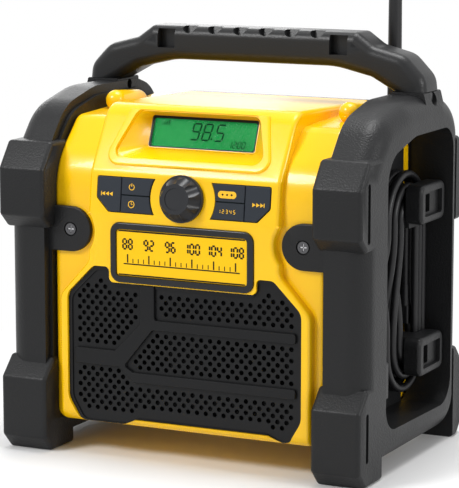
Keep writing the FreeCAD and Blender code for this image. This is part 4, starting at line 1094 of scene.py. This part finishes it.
@dataclass
class Cord:
    """Mains cord wound on the two hooks, with its loose end running down to the plug."""

    palette: Palette
    diameter: float = 5.2
    stem_y: float = 33.6
    tight: float = 13.5
    layer_pitch: float = 6.2
    front_pitch: float = 11.0
    column: float = 104.0
    column_pitch: float = 6.8
    rise: float = 155.0
    fall: float = 72.0
    gland_top: float = 108.0
    plug_y: float = -29.0
    plug_top: float = 82.0
    turns: int = 6
    outer_turns: tuple[int, ...] = (1, 2, 5)
    lead: float = 0.25
    steps: int = 14

    def radius(self, layer: int) -> float:
        """Radius of the half turns in a layer."""
        return self.tight + layer * (self.layer_pitch + self.front_pitch) / 2

    def rear(self, layer: int) -> float:
        """Y of the rear runs in a layer."""
        return self.stem_y + self.tight + layer * self.layer_pitch

    def across(self, turn: int) -> float:
        """X of a turn."""
        return self.column + (self.column_pitch if turn in self.outer_turns else 0.0)

    def half_turn(self, x: float, layer: int, height: float, over: bool) -> list[Vector]:
        """Points of a half turn round a hook.

        Args:
            x: Column of the turn.
            layer: Layer of the winding, counted outwards.
            height: Height of the hook's middle.
            over: True over the upper hook, False under the lower one.

        Returns:
            The points, from the rear run over the upper hook, or from the front run under the lower one.
        """
        middle = self.rear(layer) - self.radius(layer)
        points = []
        for step in range(self.steps + 1):
            angle = math.pi * step / self.steps
            y = middle + self.radius(layer) * (math.cos(angle) if over else -math.cos(angle))
            z = height + self.radius(layer) * math.sin(angle) * (1 if over else -1)
            points.append(Vector((x, y, z)))
        return points

    def sway(self, start: Vector, end: Vector) -> list[Vector]:
        """Two points that lead the cord down from one column into the next.

        Args:
            start: End of the half turn above.
            end: Start of the half turn below.

        Returns:
            A point a quarter of the way down, and one a quarter of the way up.
        """
        drop = Vector((0.0, 0.0, end.z - start.z)) * self.lead
        return [start + drop, end - drop]

    def points(self) -> list[Vector]:
        """The cord's line from the gland to the plug.

        Returns:
            Its points in millimetres.
        """
        line = [Vector((self.across(0), self.rear(0), self.gland_top))]
        for turn in range(self.turns):
            layer = turn // 2
            line += self.half_turn(self.across(turn), layer, self.rise, True)
            if turn == self.turns - 1:
                break
            after = (turn + 1) // 2
            below = self.half_turn(self.across(turn + 1), after, self.fall, False)
            line += self.sway(line[-1], below[0]) + below
        end = Vector((self.across(self.turns - 1), self.plug_y, self.plug_top + self.diameter))
        line += self.sway(line[-1], end)
        line += [end, Vector((end.x, end.y, self.plug_top))]
        return line

    def build(self, nodes: dict[str, bpy.types.Object]) -> None:
        """Build the cord as a round curve.

        Args:
            nodes: The CAD nodes by name; not used.
        """
        line = self.points()
        length = sum((line[index + 1] - line[index]).length for index in range(len(line) - 1))
        curve = bpy.data.curves.new("mains_cord", "CURVE")
        curve.dimensions = "3D"
        curve.bevel_depth = self.diameter / 2 * MM
        curve.bevel_resolution = 6
        curve.use_fill_caps = True
        spline = curve.splines.new("NURBS")
        spline.points.add(len(line) - 1)
        for point, place in zip(spline.points, line):
            point.co = (*(place * MM), 1.0)
        spline.order_u = 3
        spline.use_endpoint_u = True
        spline.resolution_u = 3
        curve.materials.append(self.palette.get("cord_rubber"))
        cord = bpy.data.objects.new("mains_cord", curve)
        bpy.context.scene.collection.objects.link(cord)
        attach(cord, "radio")
        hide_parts("power_cord_winding", "power_cord_tail")
        line[0] * MM
        self.diameter * MM
        log.info("cord: %.0f mm", length)


@dataclass
class Studio:
    """Camera, lights and floor; lengths in metres, but the lens and its sensor in millimetres."""

    lens: float = 180.43
    sensor: float = 36.0
    camera_reach: float = 50.0
    camera_place: Point3 = (0.71126, -1.45389, 0.40607)
    camera_tilt: float = 80.489
    camera_turn: float = 26.208
    lamp_target: Point3 = (0.0, 0.0, 0.15)
    floor_half: float = 9.0
    ambient: float = 0.30
    near: float = 0.15
    far: float = 0.42
    rays: tuple[str, ...] = ("Is Camera Ray", "Is Transmission Ray", "Is Glossy Ray")

    def camera(self) -> None:
        """Set the camera at the photograph's angle."""
        lens = bpy.data.cameras.new("photo_camera")
        lens.lens = self.lens
        lens.sensor_width = self.sensor
        lens.clip_end = self.camera_reach
        holder = bpy.data.objects.new("photo_camera", lens)
        holder.location = self.camera_place
        holder.rotation_euler = (math.radians(self.camera_tilt), 0.0, math.radians(self.camera_turn))
        bpy.context.scene.collection.objects.link(holder)
        bpy.context.scene.camera = holder

    def lamp(self, name: str, place: Point3, size: float, watts: float) -> None:
        """Add one soft box that faces the target.

        Args:
            name: Name of the lamp.
            place: Where it stands.
            size: Side of the box.
            watts: Its power.
        """
        data = bpy.data.lights.new(name, "AREA")
        data.shape = "SQUARE"
        data.size = size
        data.energy = watts
        lamp = bpy.data.objects.new(name, data)
        lamp.location = place
        way = Vector(self.lamp_target) - Vector(place)
        lamp.rotation_euler = way.to_track_quat("-Z", "Y").to_euler()
        bpy.context.scene.collection.objects.link(lamp)

    def seen(self, tree: bpy.types.NodeTree) -> Shade:
        """Tell rays that see the studio from rays that light it.

        Args:
            tree: The node tree that asks.

        Returns:
            1 for rays from the camera, from a mirror or through glass, and 0 for the others.
        """
        path = add_node(tree, "ShaderNodeLightPath", {}, {})
        rays = [Shade(tree, path.outputs[name]) for name in self.rays]
        total = rays[0]
        for ray in rays[1:]:
            total = total + ray
        return total.limited()

    def ground_material(self) -> bpy.types.Material:
        """White floor that keeps the object's shadow and turns to plain white further off.

        Returns:
            The material.
        """
        painter = Painter("floor_white", FINISHES["floor_white"])
        material = painter.build()
        tree = painter.tree
        length = add_node(tree, "ShaderNodeVectorMath", {"operation": "LENGTH"}, {0: painter.place})
        far = (Shade(tree, length.outputs["Value"]) - self.near) * (1.0 / (self.far - self.near))
        white = add_node(tree, "ShaderNodeEmission", {}, {"Color": (1.0, 1.0, 1.0, 1.0), "Strength": 1.0})
        mix = add_node(tree, "ShaderNodeMixShader", {},
                       {0: self.seen(tree) * far.limited(), 1: painter.surface.outputs["BSDF"],
                        2: white.outputs["Emission"]})
        tree.links.new(mix.outputs["Shader"], tree.nodes["Material Output"].inputs["Surface"])
        return material

    def floor(self) -> None:
        """Add the floor."""
        builder = bmesh.new()
        reach = self.floor_half
        corners = ((-reach, -reach, 0.0), (reach, -reach, 0.0), (reach, reach, 0.0), (-reach, reach, 0.0))
        builder.faces.new([builder.verts.new(corner) for corner in corners])
        make_object("floor", builder, self.ground_material())

    def sky(self) -> None:
        """Set an even white world: full white where it is seen, dimmer as a light."""
        world = bpy.data.worlds.new("studio")
        world.use_nodes = True
        tree = world.node_tree
        background = tree.nodes["Background"]
        background.inputs["Color"].default_value = (1.0, 1.0, 1.0, 1.0)
        strength = self.seen(tree) * (1.0 - self.ambient) + self.ambient
        tree.links.new(strength.socket, background.inputs["Strength"])
        bpy.context.scene.world = world

    def build(self) -> None:
        """Set up the whole studio."""
        self.camera()
        self.floor()
        self.lamp("key", (-0.9, -1.5, 1.5), 0.6, 27.0)
        self.lamp("top", (0.1, 0.2, 1.9), 0.9, 27.0)
        self.lamp("side", (1.9, -0.2, 0.9), 0.6, 14.0)
        self.lamp("back", (-1.2, 1.6, 1.0), 1.0, 9.0)
        self.sky()
        bpy.context.scene.view_settings.view_transform = "Standard"


@dataclass
class Smoother:
    """Modifier that welds a CAD mesh and shades its shallow edges smooth."""

    angle: float = 32.0
    weld_gap: float = 0.002

    def make(self) -> bpy.types.NodeTree:
        """Build the node group.

        Returns:
            The group to put on each CAD node.
        """
        tree = bpy.data.node_groups.new("smooth_edges", "GeometryNodeTree")
        tree.interface.new_socket("Geometry", in_out="INPUT", socket_type="NodeSocketGeometry")
        tree.interface.new_socket("Geometry", in_out="OUTPUT", socket_type="NodeSocketGeometry")
        entry = add_node(tree, "NodeGroupInput", {}, {})
        weld = add_node(tree, "GeometryNodeMergeByDistance", {},
                        {"Geometry": entry.outputs["Geometry"], "Distance": self.weld_gap * MM})
        angle = add_node(tree, "GeometryNodeInputMeshEdgeAngle", {}, {})
        shallow = add_node(tree, "FunctionNodeCompare", {"data_type": "FLOAT", "operation": "LESS_EQUAL"},
                           {"A": angle.outputs["Unsigned Angle"], "B": math.radians(self.angle)})
        faces = add_node(tree, "GeometryNodeSetShadeSmooth", {}, {"Geometry": weld.outputs["Geometry"]})
        edges = add_node(tree, "GeometryNodeSetShadeSmooth", {"domain": "EDGE"},
                         {"Geometry": faces.outputs["Geometry"], "Shade Smooth": shallow.outputs["Result"]})
        add_node(tree, "NodeGroupOutput", {}, {"Geometry": edges.outputs["Geometry"]})
        return tree


@dataclass
class Radio:
    """The CAD pieces with their finishes, and everything drawn on them."""

    frame: dict
    palette: Palette = field(default_factory=Palette)

    def paint(self) -> None:
        """Give every CAD node the material of its slot and smooth shading."""
        smooth = Smoother().make()
        slots = {entry["node"]: entry["material_slot"] for entry in self.frame["record"]["subparts"]}
        for name, node in self.frame["nodes"].items():
            material = self.palette.get(slots[name])
            for index in range(len(node.data.materials)):
                node.data.materials[index] = material
            if not node.data.materials:
                node.data.materials.append(material)
            modifier = node.modifiers.new("smooth", "NODES")
            modifier.node_group = smooth

    def build(self) -> None:
        """Build every sub-assembly in order."""
        steps: list[tuple[str, Callable[[], None]]] = [
            ("paint", self.paint),
            ("display", Display(self.palette).build),
            ("keys", KeyMarks(self.palette).build),
            ("badge", Badge(self.palette).build),
            ("ear screws", EarScrews(self.palette).build),
            ("grille", Grille(self.palette).build),
            ("cord", lambda: Cord(self.palette).build(self.frame["nodes"])),
            ("studio", Studio().build),
        ]
        for name, step in steps:
            log.info("building %s", name)
            step()


def main() -> None:
    """Load the frame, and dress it."""
    logging.basicConfig(level=logging.INFO)
    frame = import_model()
    Radio(frame).build()


if __name__ == "__main__":
    main()
